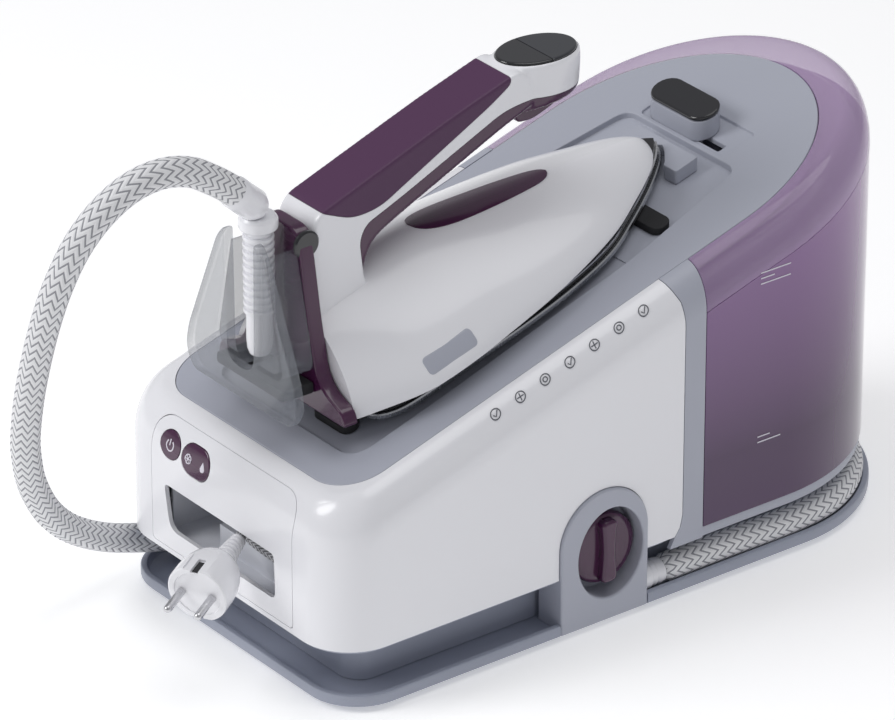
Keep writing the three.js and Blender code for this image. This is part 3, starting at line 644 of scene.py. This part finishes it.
shell = piece("white_shell", slice_off(body_form(bottom=39), (0, 40, 0), (0, 1, 0)), WHITE)
carve(
    shell,
    tool(prism(rear_of(0), "x", -150, 150)),
    tool(slice_off(body_form(3, 7, 20), (0, 60, 0), (0, 1, 0))),
    tool(deck_prism(plan(COVER_PLAN, -0.4), -3.3, 60)),
    tool(deck_prism(plan(COVER_PLAN, 6), -20, 60)),
    tool(prism(panel_outline(0.35), "y", -240, -195)),
    tool(prism(plate_outline(0.4), "x", 95, 130)),
)
finish_off(soften(shell, 0.5), "station", "white_plastic", "main_shell")

panel = piece("front_panel_plate", body_form(bottom=39), WHITE)
carve(panel, tool(prism(panel_outline(0), "y", -240, -200)), operation="INTERSECT")
carve(
    panel,
    tool(body_form(2.7, 4, 20)),
    tool(prism(cord_mouth, "y", -240, -195)),
    tool(prism(grown(power_outline, 0.4), "y", -240, -190)),
    tool(prism(grown(clean_outline, 0.4), "y", -240, -190)),
    tool(deck_prism(plan(COVER_PLAN, -0.8), -3.3, 60)),
)
finish_off(soften(panel, 0.5), "station", "white_plastic", "front_panel")


def front_button(name, points, body, node):
    button = piece(name, body_form(-0.3, -0.3, 39), PLUM)
    carve(button, tool(prism(points, "y", -240, -206)), operation="INTERSECT")
    return finish_off(soften(button, 0.9, 4), body, "plum_plastic", node)


front_button("power_button_cap", power_outline, "power_key", "power_button")
front_button("clean_button_cap", clean_outline, "clean_key", "clean_button")


def on_front(z):
    """The y of the station's front surface at a height."""
    step = 0.15
    start = BODY_PLAN[1] - 2 * step
    for k in range(200):
        y = start + k * step
        top = DECK + SLOPE * y
        low = top - SHOULDER_DROP
        if z <= low:
            return y
        reach = min(max((z - low) / SHOULDER_DROP, 0), 1)
        inset = SHOULDER_IN * (1 - math.sqrt(max(1 - reach * reach, 0)))
        if y >= BODY_PLAN[1] + inset:
            return y
    return start


def print_mark(name, outlines, finish, body, slot, lift=0.5):
    """Small flat marks on the front, each an outline of (x, z) points."""
    bm = bmesh.new()
    for points in outlines:
        verts = [bm.verts.new((x, on_front(z) - lift, z)) for x, z in points]
        bm.faces.new(verts)
    mark = piece(name, bm, finish)
    solid = mark.modifiers.new("depth", "SOLIDIFY")
    solid.thickness = 0.25 * MM
    settle(mark)
    return finish_off(mark, body, slot)


def stroke(points, width, close=False):
    """An outline around a line of points."""
    left, right = [], []
    count = len(points)
    for i, (a, b) in enumerate(points):
        before = points[(i - 1) % count] if close or i else points[0]
        after = points[(i + 1) % count] if close or i < count - 1 else points[-1]
        along = (Vector(after) - Vector(before)).normalized()
        left.append((a - along.y * width / 2, b + along.x * width / 2))
        right.append((a + along.y * width / 2, b - along.x * width / 2))
    if close:
        return [[left[i], left[(i + 1) % count], right[(i + 1) % count], right[i]] for i in range(count)]
    return [left + right[::-1]]


power_ring = [(-52 + 3.2 * math.sin(a), 108.5 + 3.2 * math.cos(a))
              for a in [math.radians(38 + 284 * i / 20) for i in range(21)]]
power_bar = [(-52, 108.6), (-52, 112.2)]
print_mark("power_sign", stroke(power_ring, 0.8) + stroke(power_bar, 0.8), MARK, "power_key", "white_plastic", 0.55)
drop = [(-20.5 + 2 * math.sin(a) * (1 if math.cos(a) < 0 else 1 - 0.7 * math.cos(a)),
         106.5 + 2 * (math.cos(a) if math.cos(a) < 0 else 2 * math.cos(a)))
        for a in [math.pi * 2 * i / 20 for i in range(20)]]
gear = stroke([(-34 + 2.6 * math.cos(math.pi * 2 * i / 16), 107.5 + 2.6 * math.sin(math.pi * 2 * i / 16))
               for i in range(16)], 0.7, True)
gear += [spoke for a in (0, 60, 120) for spoke in stroke(
    [(-34 + 2.4 * math.cos(math.radians(a)), 107.5 + 2.4 * math.sin(math.radians(a))),
     (-34 - 2.4 * math.cos(math.radians(a)), 107.5 - 2.4 * math.sin(math.radians(a)))], 0.5)]
print_mark("clean_sign", [drop] + gear, MARK, "clean_key", "white_plastic", 0.55)

# The liner's grey carries painted light that brightens the shaded cord mouth.
refined("cord_compartment", "cord_compartment_liner", LINER_GREY_PAINTED_LIGHT, "station", "grey_plastic", 0.8)


def recess(grow):
    """The deck's hollow that the iron rests in, seen from above."""
    half = [(66 + grow, -181 - grow, 14), (66 + grow, -120, 20), (62 + grow, 20, 20), (50 + grow, 106 + grow, 9)]
    return rounded(half + [(-x, y, radius) for x, y, radius in half[::-1]])


cover = piece("deck_cover", deck_prism(plan(COVER_PLAN), -3, 0), GREY)
carve(cover, tool(deck_prism(recess(3), -7, -0.5)), operation="UNION")
carve(cover, tool(deck_prism(rectangle(-44, 99, 36, 136, 3), -5, -0.5)), operation="UNION")
carve(
    cover,
    tool(deck_prism(recess(0), -4, 60)),
    tool(deck_prism(rectangle(-41.5, 108.8, 34, 133, 3), -1.6, 60)),
    tool(deck_prism(rectangle(-20, 112, 26, 118, 1), -20, 60)),
)
finish_off(soften(cover, 0.8, 3), "station", "grey_plastic", "top_cover")

for corner in ("front_left", "front_right", "rear_left", "rear_right"):
    refined("rest_pad_" + corner, "deck_pad_" + corner, RUBBER, "station", "black_rubber", 0.5)
    refined("foot_" + corner, "base_foot_" + corner, RUBBER, "station", "black_rubber", 0.2)
refined("lock_slider", "latch_skirt", GREY, "lock_latch", "grey_plastic", 0.6)
refined("lock_slider_cap", "latch_cap", BLACK, "lock_latch", "black_plastic", 0.3)
refined("lock_tongue", "latch_tongue", GREY, "tongue", "grey_plastic", 0.6)


def housing(grow):
    """The upright block of the boiler's housing, that the tank wraps round."""
    w = TOWER_HALF + grow
    return prism([(-w, 0), (w, 0), (w, TOWER_REAR + grow), (-w, TOWER_REAR + grow)], "z", -80, 340)


band = slice_off(slice_off(body_form(bottom=32), (0, FRAME_REAR, 0), (0, 1, 0)), (0, 0, 0), (0, -1, 0))
rear_band = piece("rear_frame_band", band, GREY)
carve(rear_band, tool(prism(rear_of(0.5), "x", -150, 150)), operation="INTERSECT")
carve(
    rear_band,
    tool(slice_off(body_form(3, 7, 0), (0, FRAME_REAR - 3, 0), (0, 1, 0))),
    tool(deck_prism(plan(COVER_PLAN, -0.4), -3.3, 60)),
)
shelf = piece("rear_shelf", slice_off(loft(level(BODY_PLAN, [(1.6, 32), (1, 32.6), (1, 38.2), (1.6, 38.7)])),
                                      (0, FRAME_REAR - 1, 0), (0, -1, 0)), GREY)
tower = piece("boiler_housing", slice_off(body_form(10, 14, 38), (0, FRAME_REAR - 1, 0), (0, -1, 0)), GREY)
carve(tower, tool(housing(0)), operation="INTERSECT")
carve(tower, tool(prism([(-51, 30), (51, 30), (51, 143), (-51, 143)], "z", 30, 180)))
finish_off(soften(shelf, 0.3), "station", "grey_plastic")
finish_off(soften(tower, 4, 4), "station", "grey_plastic")
finish_off(soften(rear_band, 0.5), "station", "grey_plastic", "rear_frame")

# ---------- water tank ----------
TANK_FRONT = FRAME_REAR + 0.5


def above(height):
    return deck_prism(plan(BODY_PLAN, -20), height, 90)


def below(height):
    return deck_prism(plan(BODY_PLAN, -20), -330, height)


tank = piece("tank_body", slice_off(body_form(bottom=39), (0, TANK_FRONT, 0), (0, -1, 0)), TANK)
carve(
    tank,
    tool(housing(3)),
    tool(above(-SHOULDER_DROP - 0.15)),
)
hollow = tool(slice_off(body_form(3, 3, 42), (0, TANK_FRONT + 3, 0), (0, -1, 0)))
carve(hollow, tool(housing(6)))
carve(tank, hollow)
finish_off(soften(tank, 0.8, 3), "tank", "tank_plastic", "water_tank")

lid = piece("tank_rim", slice_off(body_form(bottom=39), (0, TANK_FRONT, 0), (0, -1, 0)), TANK_RIM)
carve(
    lid,
    tool(housing(3)),
    tool(below(-SHOULDER_DROP + 0.15)),
    tool(deck_prism(plan(COVER_PLAN, -0.6), -10, 60)),
)
lid_hollow = tool(slice_off(body_form(3, 13, 30), (0, TANK_FRONT + 3, 0), (0, -1, 0)))
carve(lid_hollow, tool(housing(6)))
carve(lid, lid_hollow, tool(prism(ellipse(0, 166, 13, 13), "z", 200, 280)))
finish_off(soften(lid, 0.6), "tank", "tank_plastic", "tank_lid")
refined("tank_valve", "tank_outlet_valve", BLACK, "tank", "black_plastic", 0.2)

# ---------- rinse knob ----------
plate = piece("knob_plate_arch", prism(plate_outline(0), "x", 88, 110), GREY)
carve(plate, tool(prism(ellipse(-31, 46, 23.4, 28.5), "x", 93, 130)),
      tool(prism(ellipse(-31, 46, 5.4, 5.4, 24), "x", 80, 110)),
      tool(prism([(-100, -20), (20, -20), (20, 3), (-100, 3)], "x", 60, 130)))
finish_off(soften(plate, 1.4, 4), "station", "grey_plastic", "knob_plate")

KNOB_AXIS = STATION @ Matrix.Translation((0, -31, 46)) @ Matrix.Rotation(math.pi / 2, 4, "Y")
dial_profile = [(0, 80), (5, 80), (5, 93.4), (21.4, 93.4), (22.2, 94.2), (22.2, 101), (21.4, 102.6), (19.4, 103.6),
                (17, 104), (0, 104)]
dial = piece("rinse_dial", turned(dial_profile), PLUM, KNOB_AXIS)
blade_outline = rounded([(-37, 26, 5), (-25, 26, 5), (-27, 46, 12), (-25, 66, 5), (-37, 66, 5), (-35, 46, 12)])
blade = tool(prism(blade_outline, "x", 98, 109.5))
soften(blade, 2.5, 4)
carve(dial, blade, operation="UNION")
finish_off(soften(dial, 0.4), "rinse_plug", "plum_plastic", "rinse_knob")

# ---------- works inside ----------
for node, name, finish, slot in (
    ("boiler", "boiler_vessel", STEEL, "steel"),
    ("boiler_heater", "heater_loop", COPPER, "copper"),
    ("water_pump", "pump_case", BLACK, "black_plastic"),
    ("pump_mount", "pump_cushion", RUBBER, "black_rubber"),
    ("steam_valve", "steam_valve_block", COPPER, "copper"),
    ("control_board", "circuit_board", BOARD, "board_green"),
    ("water_pipe", "tank_pipe", PIPE, "pipe_rubber"),
    ("feed_pipe", "boiler_feed_pipe", PIPE, "pipe_rubber"),
    ("steam_pipe", "steam_out_pipe", PIPE, "pipe_rubber"),
    ("mains_gland", "mains_inlet_gland", BLACK, "black_plastic"),
):
    refined(node, name, finish, "station", slot, 0.3)
refined("hose_gland", "hose_outlet_gland", WHITE, "station", "white_plastic", 0.3)

# ---------- mains cord ----------
CORD = 3.2                       # the cord's radius
HANK_X, HANK_Y, HANK_HALF = 28.0, -182.6, 20.5   # middle of the hank, and half its straight stretch
INNER, OUTER = 19.9, 26.3        # end radii of its two columns
LOW, HIGH = 67.5, 86.7           # heights of its lowest and highest turn
PITCH = 6.45
TURN = 18                        # points in one turn
PLUG = STATION @ Matrix.Translation((14, -222, 77)) @ Vector(
    (0.445, -0.878, -0.178)).to_track_quat("Z", "Y").to_matrix().to_4x4()


def hank_point(step):
    """A point on the stowed cord, from the left end, anticlockwise from above: down inside, then up outside."""
    turns = step / TURN
    part = step % TURN
    angle = math.pi + (part - (part > 4) - (part > 13)) * math.pi / 8
    side = 1 if 4 < part <= 13 else -1
    radius = INNER + (OUTER - INNER) * min(max((turns - 3) / 0.3, 0), 1)
    height = HIGH - PITCH * turns if turns < 2.98 else LOW + max(turns - 3.35, 0) * 6.5
    return (HANK_X + side * HANK_HALF + radius * math.cos(angle), HANK_Y + radius * math.sin(angle), height)


cord_route = [(-12, -153, 90), (-12, -160, 90), (-12, -168, 89.6), (-12.2, -175, 88.5)]
cord_route += [hank_point(step) for step in range(5 * TURN + 3)]
cord_route += [(2.5, -210.5, 79.2), (9.6, -216.2, 78.2), (14.0, -222.3, 77)]
cord_path = smooth_path(cord_route, 2.0)
lead = piece("mains_cord", hose_mesh(cord_path, CORD, 16), LEAD)
lead.data.shade_smooth()
cord_world = [STATION @ p * MM for p in cord_path]
cord_length = sum((q - p).length for p, q in zip(cord_world, cord_world[1:]))
finish_off(lead, "station", "cord_braid", "mains_hank", "mains_lead")

neck_profile = [(0, 0), (3.5, 0), (3.9, 0.6)]
for i in range(6):
    r = 4.4 + i * 0.42
    z = 1.2 + i * 3.4
    neck_profile += [(r, z), (r + 0.2, z + 0.3), (r + 0.2, z + 1.9), (r, z + 2.2), (r - 0.9, z + 2.5),
                     (r - 0.7, z + 3.1)]
neck_profile += [(6.9, 21.6), (6.9, 22), (0, 22)]
neck = piece("plug_neck_ribs", turned(neck_profile, 40), WHITE, PLUG)
plug_pieces = [finish_off(soften(neck, 0), "station", "white_plastic", "plug_relief")]
case = piece("plug_case", turned([
    (0, 22.2), (8.4, 22.2), (9.2, 22.5), (11.6, 24.4), (14, 27), (16, 31), (17.4, 35.4), (18.2, 40),
    (18.5, 44), (18.5, 51.6), (18.2, 52.5), (17.4, 53), (14.4, 53), (14, 52.4), (0, 52.4)], 72), WHITE, PLUG)
for side in (-1, 1):
    carve(case, tool(prism(rectangle(-7, 30, 7, 60, 1), "y", 16.4 * side, 30 * side), PLUG),
          tool(prism(rectangle(-2.4, 42, 2.4, 58, 0.8), "y", 14.9 * side, 30 * side), PLUG))
plug_pieces.append(finish_off(soften(case, 0.5, 3), "station", "white_plastic", "plug_body"))
for side in (-1, 1):
    clip = piece("plug_earth_" + ("front" if side < 0 else "back"),
                 prism(rectangle(-1.9, 43, 1.9, 52.2, 0.6), "y", 14.9 * side, 15.4 * side), BLACK, PLUG)
    plug_pieces.append(finish_off(soften(clip, 0.15), "station", "black_plastic"))
for side, node in ((1, "plug_pin_upper"), (-1, "plug_pin_lower")):
    pin = piece(node + "_turned", turned([
        (0, 53.2), (2.4, 53.2), (2.4, 69.6), (2.2, 70.8), (1.7, 71.7), (0.9, 72.2), (0, 72.3)], 32), STEEL,
        PLUG @ Matrix.Translation((9.5 * side, 0, 0)))
    plug_pieces.append(finish_off(soften(pin, 0), "station", "steel", node))


# ---------- iron ----------
def spread(points, count):
    """Evenly numbered points on a smooth curve through the given (a, b) points."""
    path = smooth_path([(a, b, 0) for a, b in points], sum(
        math.dist(p, q) for p, q in zip(points, points[1:])) / count)
    return [(p.x, p.y) for p in path]


def offset(points, by):
    """A closed outline moved out by a distance."""
    result = []
    for i, point in enumerate(points):
        along = (Vector(points[(i + 1) % len(points)]) - Vector(points[i - 1])).normalized()
        result.append((point[0] + along.y * by, point[1] - along.x * by))
    return result


half_sole = spread([(0, -167), (30, -166), (52, -161), (59.5, -151), (62, -136), (62, -100), (62, -55),
                    (59.5, -18), (53, 15), (40, 42), (26, 66), (13, 84), (5, 92), (0, 95)], 60)
sole_outline = half_sole + [(-x, y) for x, y in half_sole[-2:0:-1]]


def sole_rings(steps):
    return [[(x, y, z) for x, y in offset(sole_outline, -inset)] for inset, z in steps]


sole = piece("sole_plate", loft(sole_rings([(2.2, 1), (0.8, 1.3), (0, 2.2), (0, 4.2), (0.6, 5)])), SOLE, IRON)
finish_off(soften(sole, 0), "iron", "aluminium", "soleplate")
skirt_steps = [(2.6, 5.2), (2.2, 5.6), (2.2, 8.0), (1.5, 8.3), (1.5, 9.4), (2.3, 9.7), (2.3, 12.6), (2.8, 13)]
skirt = piece("sole_skirt_ring", loft(sole_rings(skirt_steps)), BLACK, IRON)
finish_off(soften(skirt, 0), "iron", "black_plastic", "sole_skirt")
trim_steps = [(1.5, 8.2), (0.9, 8.5), (0.9, 9.3), (1.5, 9.6), (3.5, 9.6), (3.5, 8.2), (1.5, 8.2)]
trim = piece("sole_trim", loft(sole_rings(trim_steps), closed=True), STEEL, IRON)
finish_off(soften(trim, 0), "iron", "steel")

BODY_FOOT = 13.3
FLANK, CROWN = 1.5, 1.3
side_line = spread([(-205, 45), (-185, 51), (-172, 57), (-160, 62), (-149, 66.5), (-137, 70.5), (-126, 72.6),
                    (-103, 73), (-80, 71.2), (-31, 65), (19, 52), (50, 36.5), (72, 23), (81, 14), (85, 7),
                    (86.5, 0.8)], 70)
top_line = spread([(-205, 66), (-140, 65.5), (-100, 64.5), (-77, 62.5), (-29, 50.5), (18, 38), (50, 29.5),
                   (76, 22.5), (84, 18.5), (86.5, 14.5)], 90)


def along(line, at):
    """The second value of a line of points at a first value."""
    for (a, va), (b, vb) in zip(line, line[1:]):
        if at <= b:
            return va + (vb - va) * min(max((at - a) / max(b - a, 1e-9), 0), 1)
    return line[-1][1]


def body_height(x, y):
    across = min(abs(x) / along(side_line, y), 1)
    lean = math.acos(across ** (1 / FLANK))
    return BODY_FOOT + (along(top_line, y) - BODY_FOOT) * math.sin(lean) ** CROWN


def body_ring(y, width, shrink=0.0):
    height = along(top_line, y) - BODY_FOOT - shrink
    width = max(width - shrink, 0.3)
    ring = []
    for i in range(33):
        a = math.pi * i / 32
        ring.append((width * math.copysign(abs(math.cos(a)) ** FLANK, math.cos(a)), y,
                     BODY_FOOT - shrink * 0.4 + max(height, 0.6) * math.sin(a) ** CROWN))
    return ring


def heel_slice(bm, plane):
    """Cuts an iron piece off at an upright plane."""
    normal = Vector((0, -math.cos(TILT), math.sin(TILT)))
    return slice_off(bm, normal * -plane, normal)


body = piece("iron_body", heel_slice(loft([body_ring(y, w) for y, w in side_line]), HEEL), WHITE, IRON)
carve(body, tool(heel_slice(loft([body_ring(y, w, 2.6) for y, w in side_line if y < 84]), HEEL + 2.6), IRON))
finish_off(soften(body, 0.4), "iron", "white_plastic", "iron_shell")

inset_line = spread([(-78, 0.5), (-76, 5.5), (-70, 9.8), (-60, 12.3), (-45, 12.8), (-20, 11.4), (0, 9.2),
                     (10, 7.2), (16, 4), (18, 0.5)], 40)
inset_rings = []
for y, w in inset_line:
    xs = [w * math.cos(math.pi * i / 8) for i in range(9)]
    inset_rings.append([(x, y, body_height(x, y) + 0.5) for x in xs]
                       + [(x, y, body_height(x, y) - 1.2) for x in xs[::-1]])
inlay = piece("body_inset_oval", loft(inset_rings), PLUM, IRON)
finish_off(soften(inlay, 0.3), "iron", "plum_plastic", "body_inset")


def on_flank(y, z, out):
    """A point on the iron's right flank."""
    lean = math.asin(((z - BODY_FOOT) / (along(top_line, y) - BODY_FOOT)) ** (1 / CROWN))
    return (along(side_line, y) * math.cos(lean) ** FLANK + out, y, z)


badge_rings = []
for inset, out in ((0.6, -0.6), (0.1, -0.6), (0, 0.1), (0.15, 0.35), (0.6, 0.5), (1.8, 0.5), (3.1, 0.5),
                   (4.3, 0.5)):
    ring = rectangle(-129 + inset, 20 + inset, -94 - inset, 29 - inset, 3)
    badge_rings.append([on_flank(y, z, out) for y, z in ring])
badge = piece("side_plate", loft(badge_rings), GREY, IRON)
finish_off(soften(badge, 0), "iron", "grey_plastic", "side_badge")

HEAD_Y, HEAD_TOP, HEAD_HALF, HEAD_LONG = -1.6, 312.0, 20.0, 28.0
BEAM = rounded([
    (-167, 42, 2), (-149, 104, 10), (-139, 117, 10), (-40, 121.5, 20), (14, 122, 10), (14, 96, 6),
    (-10, 94.5, 14), (-88, 85, 24), (-112, 81, 14), (-124, 64, 12), (-125, 42, 2)])
handle = tool(prism(BEAM, "x", -17, 17), IRON)
soften(handle, 6.5, 5, 50)
flare = tool(prism([(-172, 38), (-122, 38), (-123, 78), (-158, 78)], "x", -28, 28), IRON)
carve(flare, tool(prism(rounded([(-27, 36, 1), (27, 36, 1), (19, 55, 14), (16.5, 79, 1), (-16.5, 79, 1),
                                 (-19, 55, 14)]), "y", -200, -100), IRON), operation="INTERSECT")
head_steps = ((6, 276), (2.2, 282), (0.6, 291), (0, 302), (0, 310), (0.5, 311.5), (1.2, 312))
head_form = tool(loft([[(x, y, z) for x, y in ellipse(0, HEAD_Y, HEAD_HALF - inset, HEAD_LONG - inset)]
                       for inset, z in head_steps]))
carve(head_form, tool(prism(rounded([(-20, 90, 1), (12, 92, 10), (50, 85, 4), (70, 84, 1), (70, 150, 1),
                                     (-20, 150, 1)]), "x", -30, 30), IRON), operation="INTERSECT")
carve(handle, flare, operation="UNION")
carve(handle, head_form, operation="UNION")
skin = handle.modifiers.new("skin", "REMESH")
skin.mode = "VOXEL"
skin.voxel_size = 1.1 * MM
settle(handle)
relax = handle.modifiers.new("relax", "SMOOTH")
relax.factor = 0.6
relax.iterations = 9
settle(handle)
behind_heel = [(-60, HEEL - 60), (60, HEEL - 60), (60, HEEL + 0.3), (-60, HEEL + 0.3)]
carve(handle, tool(prism(behind_heel, "z", 100, 400)))

grip_region = rounded([(-140, 120, 2), (-131, 112, 6), (-119, 102, 9), (-101, 97.5, 12), (-13, 113.5, 12),
                       (3, 118, 4), (6, 140, 1), (-148, 140, 1)])
strip_region = rounded([(-123, 40, 1), (-122.5, 67, 6), (-119, 86, 10), (-112, 93.2, 10), (-85, 95.4, 14),
                        (-8, 104.5, 14), (8, 102, 10), (41, 90.7, 8), (75, 80, 1), (75, 40, 1)][::-1])


def handle_piece(name, finish, keep=None, drop=()):
    made = handle.copy()
    made.data = handle.data.copy()
    made.name = name
    made.data.materials.clear()
    made.data.materials.append(finish)
    bpy.context.scene.collection.objects.link(made)
    if keep:
        carve(made, tool(prism(keep, "x", -40, 40), IRON), operation="INTERSECT")
    for region in drop:
        carve(made, tool(prism(region, "x", -40, 40), IRON))
    return made


pocket = rectangle(2.5, 70, 45.5, 99, 1)
core = handle_piece("handle_frame", WHITE, drop=(grip_region, strip_region))
carve(core, tool(prism(pocket, "x", -9.5, 9.5), IRON),
      tool(prism(ellipse(0, HEAD_Y, 18.4, 26.4), "z", HEAD_TOP - 2, HEAD_TOP + 20)))
finish_off(soften(core, 0, angle=40), "iron", "white_plastic", "handle_core")
grip = handle_piece("grip_cover", GRIP, offset(grip_region, -0.3))
finish_off(soften(grip, 0, angle=40), "iron", "grip_plastic", "handle_grip")
strip = handle_piece("grip_underside", PLUM, offset(strip_region, -0.3))
carve(strip, tool(prism(pocket, "x", -9.5, 9.5), IRON))
finish_off(soften(strip, 0, angle=40), "iron", "plum_plastic", "handle_strip")
bpy.data.objects.remove(handle)

refined("steam_trigger", "steam_trigger_key", PLUM, "trigger", "plum_plastic", 0.5)
for node, name, finish, side in (
    ("mode_key", "mode_key_cap", BLACK, -1),
    ("display_lens", "display_window", LENS, 1),
):
    low = HEAD_TOP - (0.5 if side < 0 else 1.7)
    steps = ((0.4, low), (0, low + 0.4), (0, HEAD_TOP + 0.4), (0.5, HEAD_TOP + 1), (1.6, HEAD_TOP + 1.3))
    disc = piece(name, loft([[(x, y, z) for x, y in ellipse(0, HEAD_Y, 18 - inset, 26 - inset, 72)]
                             for inset, z in steps]), finish)
    edge = -3.2 + side * 0.2
    far = edge - side * 60
    carve(disc, tool(prism([(-40, edge), (40, edge), (40, far), (-40, far)], "z", 290, 330)))
    finish_off(soften(disc, 0.25), "display_key" if side < 0 else "iron", "black_plastic", node)

cover_outline = rounded([
    (-60.5, 153, 3), (60.5, 153, 3), (58, 161, 7), (36, 170, 16), (28, 200, 16), (21, 240, 12), (17, 259, 9),
    (-17, 259, 9), (-21, 240, 12), (-28, 200, 16), (-36, 170, 16), (-58, 161, 7)])
heel = piece("heel_cover_plate", prism(cover_outline, "y", HEEL - 10, HEEL - 0.3), PLUM)
finish_off(soften(heel, 3, 5, 50), "iron", "plum_plastic", "heel_cover")
disc = piece("cord_pivot_cap", turned([(0, 0), (7.6, 0), (8.4, 0.8), (8.4, 2.2), (7.4, 3), (0, 3)]), BLACK,
             IRON @ Matrix.Translation((16.2, -152, 106)) @ Matrix.Rotation(math.pi / 2, 4, "Y"))
finish_off(soften(disc, 0), "iron", "black_plastic")

refined("heel_stand", "clear_stand", SMOKE, "iron", "smoke_plastic", 0.7, 3, 40)
refined("heel_bar", "stand_bar", RUBBER, "iron", "black_rubber", 0.8)
boot_profile = [(0, 179), (3.6, 179.5), (6, 181.4), (7.2, 185), (7.5, 190), (7.5, 205)]
for i in range(11):
    z = 207 + i * 4.5
    boot_profile += [(7.3, z), (8.9, z + 0.4), (9.1, z + 1.4), (8.9, z + 2.4), (7.3, z + 2.8)]
boot_profile += [(8.6, 257.5), (10.8, 259), (11.3, 260), (11.3, 264.5), (10.6, 265.8), (9.6, 267), (0, 267)]
boot = piece("cord_boot_ribs", turned(boot_profile), WHITE, STATION @ Matrix.Translation((0, -196, 0)))
finish_off(soften(boot, 0), "iron", "white_plastic", "cord_boot")
sleeve_path = hose_path[:-8:-1]
sleeve_path = [sleeve_path[0] + (sleeve_path[0] - sleeve_path[1]) * 1.2, *sleeve_path]
bm = hose_mesh(sleeve_path, 9.5, 32)
finish_off(soften(piece("cord_sleeve", bm, WHITE), 0), "iron", "white_plastic")
refined("heater_block", "iron_heater", SOLE, "iron", "aluminium", 0.3)
refined("temperature_sensor", "iron_sensor", COPPER, "iron", "copper", 0.3)


# ---------- printed signs ----------
def on_shoulder(y, reach):
    """A point on the right shoulder, reach from 0 at the deck to 1 at the side, and just proud of it."""
    a = math.pi / 2 * (1 - reach)
    proud = 0.12
    return (BODY_PLAN[0] - SHOULDER_IN * (1 - math.cos(a)) + proud, y,
            DECK + SLOPE * y - SHOULDER_DROP * (1 - math.sin(a)) + proud)


def shoulder_marks(name, outlines):
    bm = bmesh.new()
    for points in outlines:
        bm.faces.new([bm.verts.new(on_shoulder(y, reach / 33)) for y, reach in points])
    mark = piece(name, bm, PRINT)
    solid = mark.modifiers.new("depth", "SOLIDIFY")
    solid.thickness = 0.15 * MM
    settle(mark)
    return finish_off(mark, "station", "black_plastic")


signs = []
for i in range(7):
    y = -107 + i * 17.5
    r = 3.1
    ring = [(y + r * math.cos(a), 12 + r * math.sin(a)) for a in [math.pi * 2 * k / 24 for k in range(24)]]
    signs += stroke(ring, 0.6, True)
    if i % 3 == 0:
        signs += stroke([(y - 1.6, 12), (y - 0.2, 13.6), (y + 1.8, 10.4)], 0.6)
    elif i % 3 == 1:
        signs += stroke([(y, 9.8), (y, 14.2)], 0.6) + stroke([(y - 2.2, 12), (y + 2.2, 12)], 0.6)
    else:
        signs += stroke([(y + 1.4 * math.cos(a), 12 + 1.4 * math.sin(a))
                         for a in [math.pi * 2 * k / 16 for k in range(16)]], 0.6, True)
shoulder_marks("feature_signs", signs)

line_lengths = ((190, 22), (186.5, 10), (183, 22), (81, 17), (84.5, 9))
lines = [stroke([(77, z), (77 + length, z)], 0.7)[0] for z, length in line_lengths]
bm = bmesh.new()
for points in lines:
    bm.faces.new([bm.verts.new((108.15, y, z)) for y, z in points])
marks = piece("level_marks", bm, MARK)
solid = marks.modifiers.new("depth", "SOLIDIFY")
solid.thickness = 0.15 * MM
finish_off(settle(marks), "tank", "white_plastic")

# ---------- floor and finish ----------
bm = bmesh.new()
bmesh.ops.create_grid(bm, x_segments=1, y_segments=1, size=6)
bm.transform(Matrix.Translation((0, 0, -0.0002)))
mesh = bpy.data.meshes.new("floor")
bm.to_mesh(mesh)
bm.free()
ground = Finish("pale_floor")
mesh.materials.append(ground.surface(**{
    "Base Color": rgb(252, 252, 252),
    "Roughness": 0.9,
    "Emission Color": (1, 1, 1, 1),
    "Emission Strength": 0.3,
}))
floor = bpy.data.objects.new("floor", mesh)
bpy.context.scene.collection.objects.link(floor)
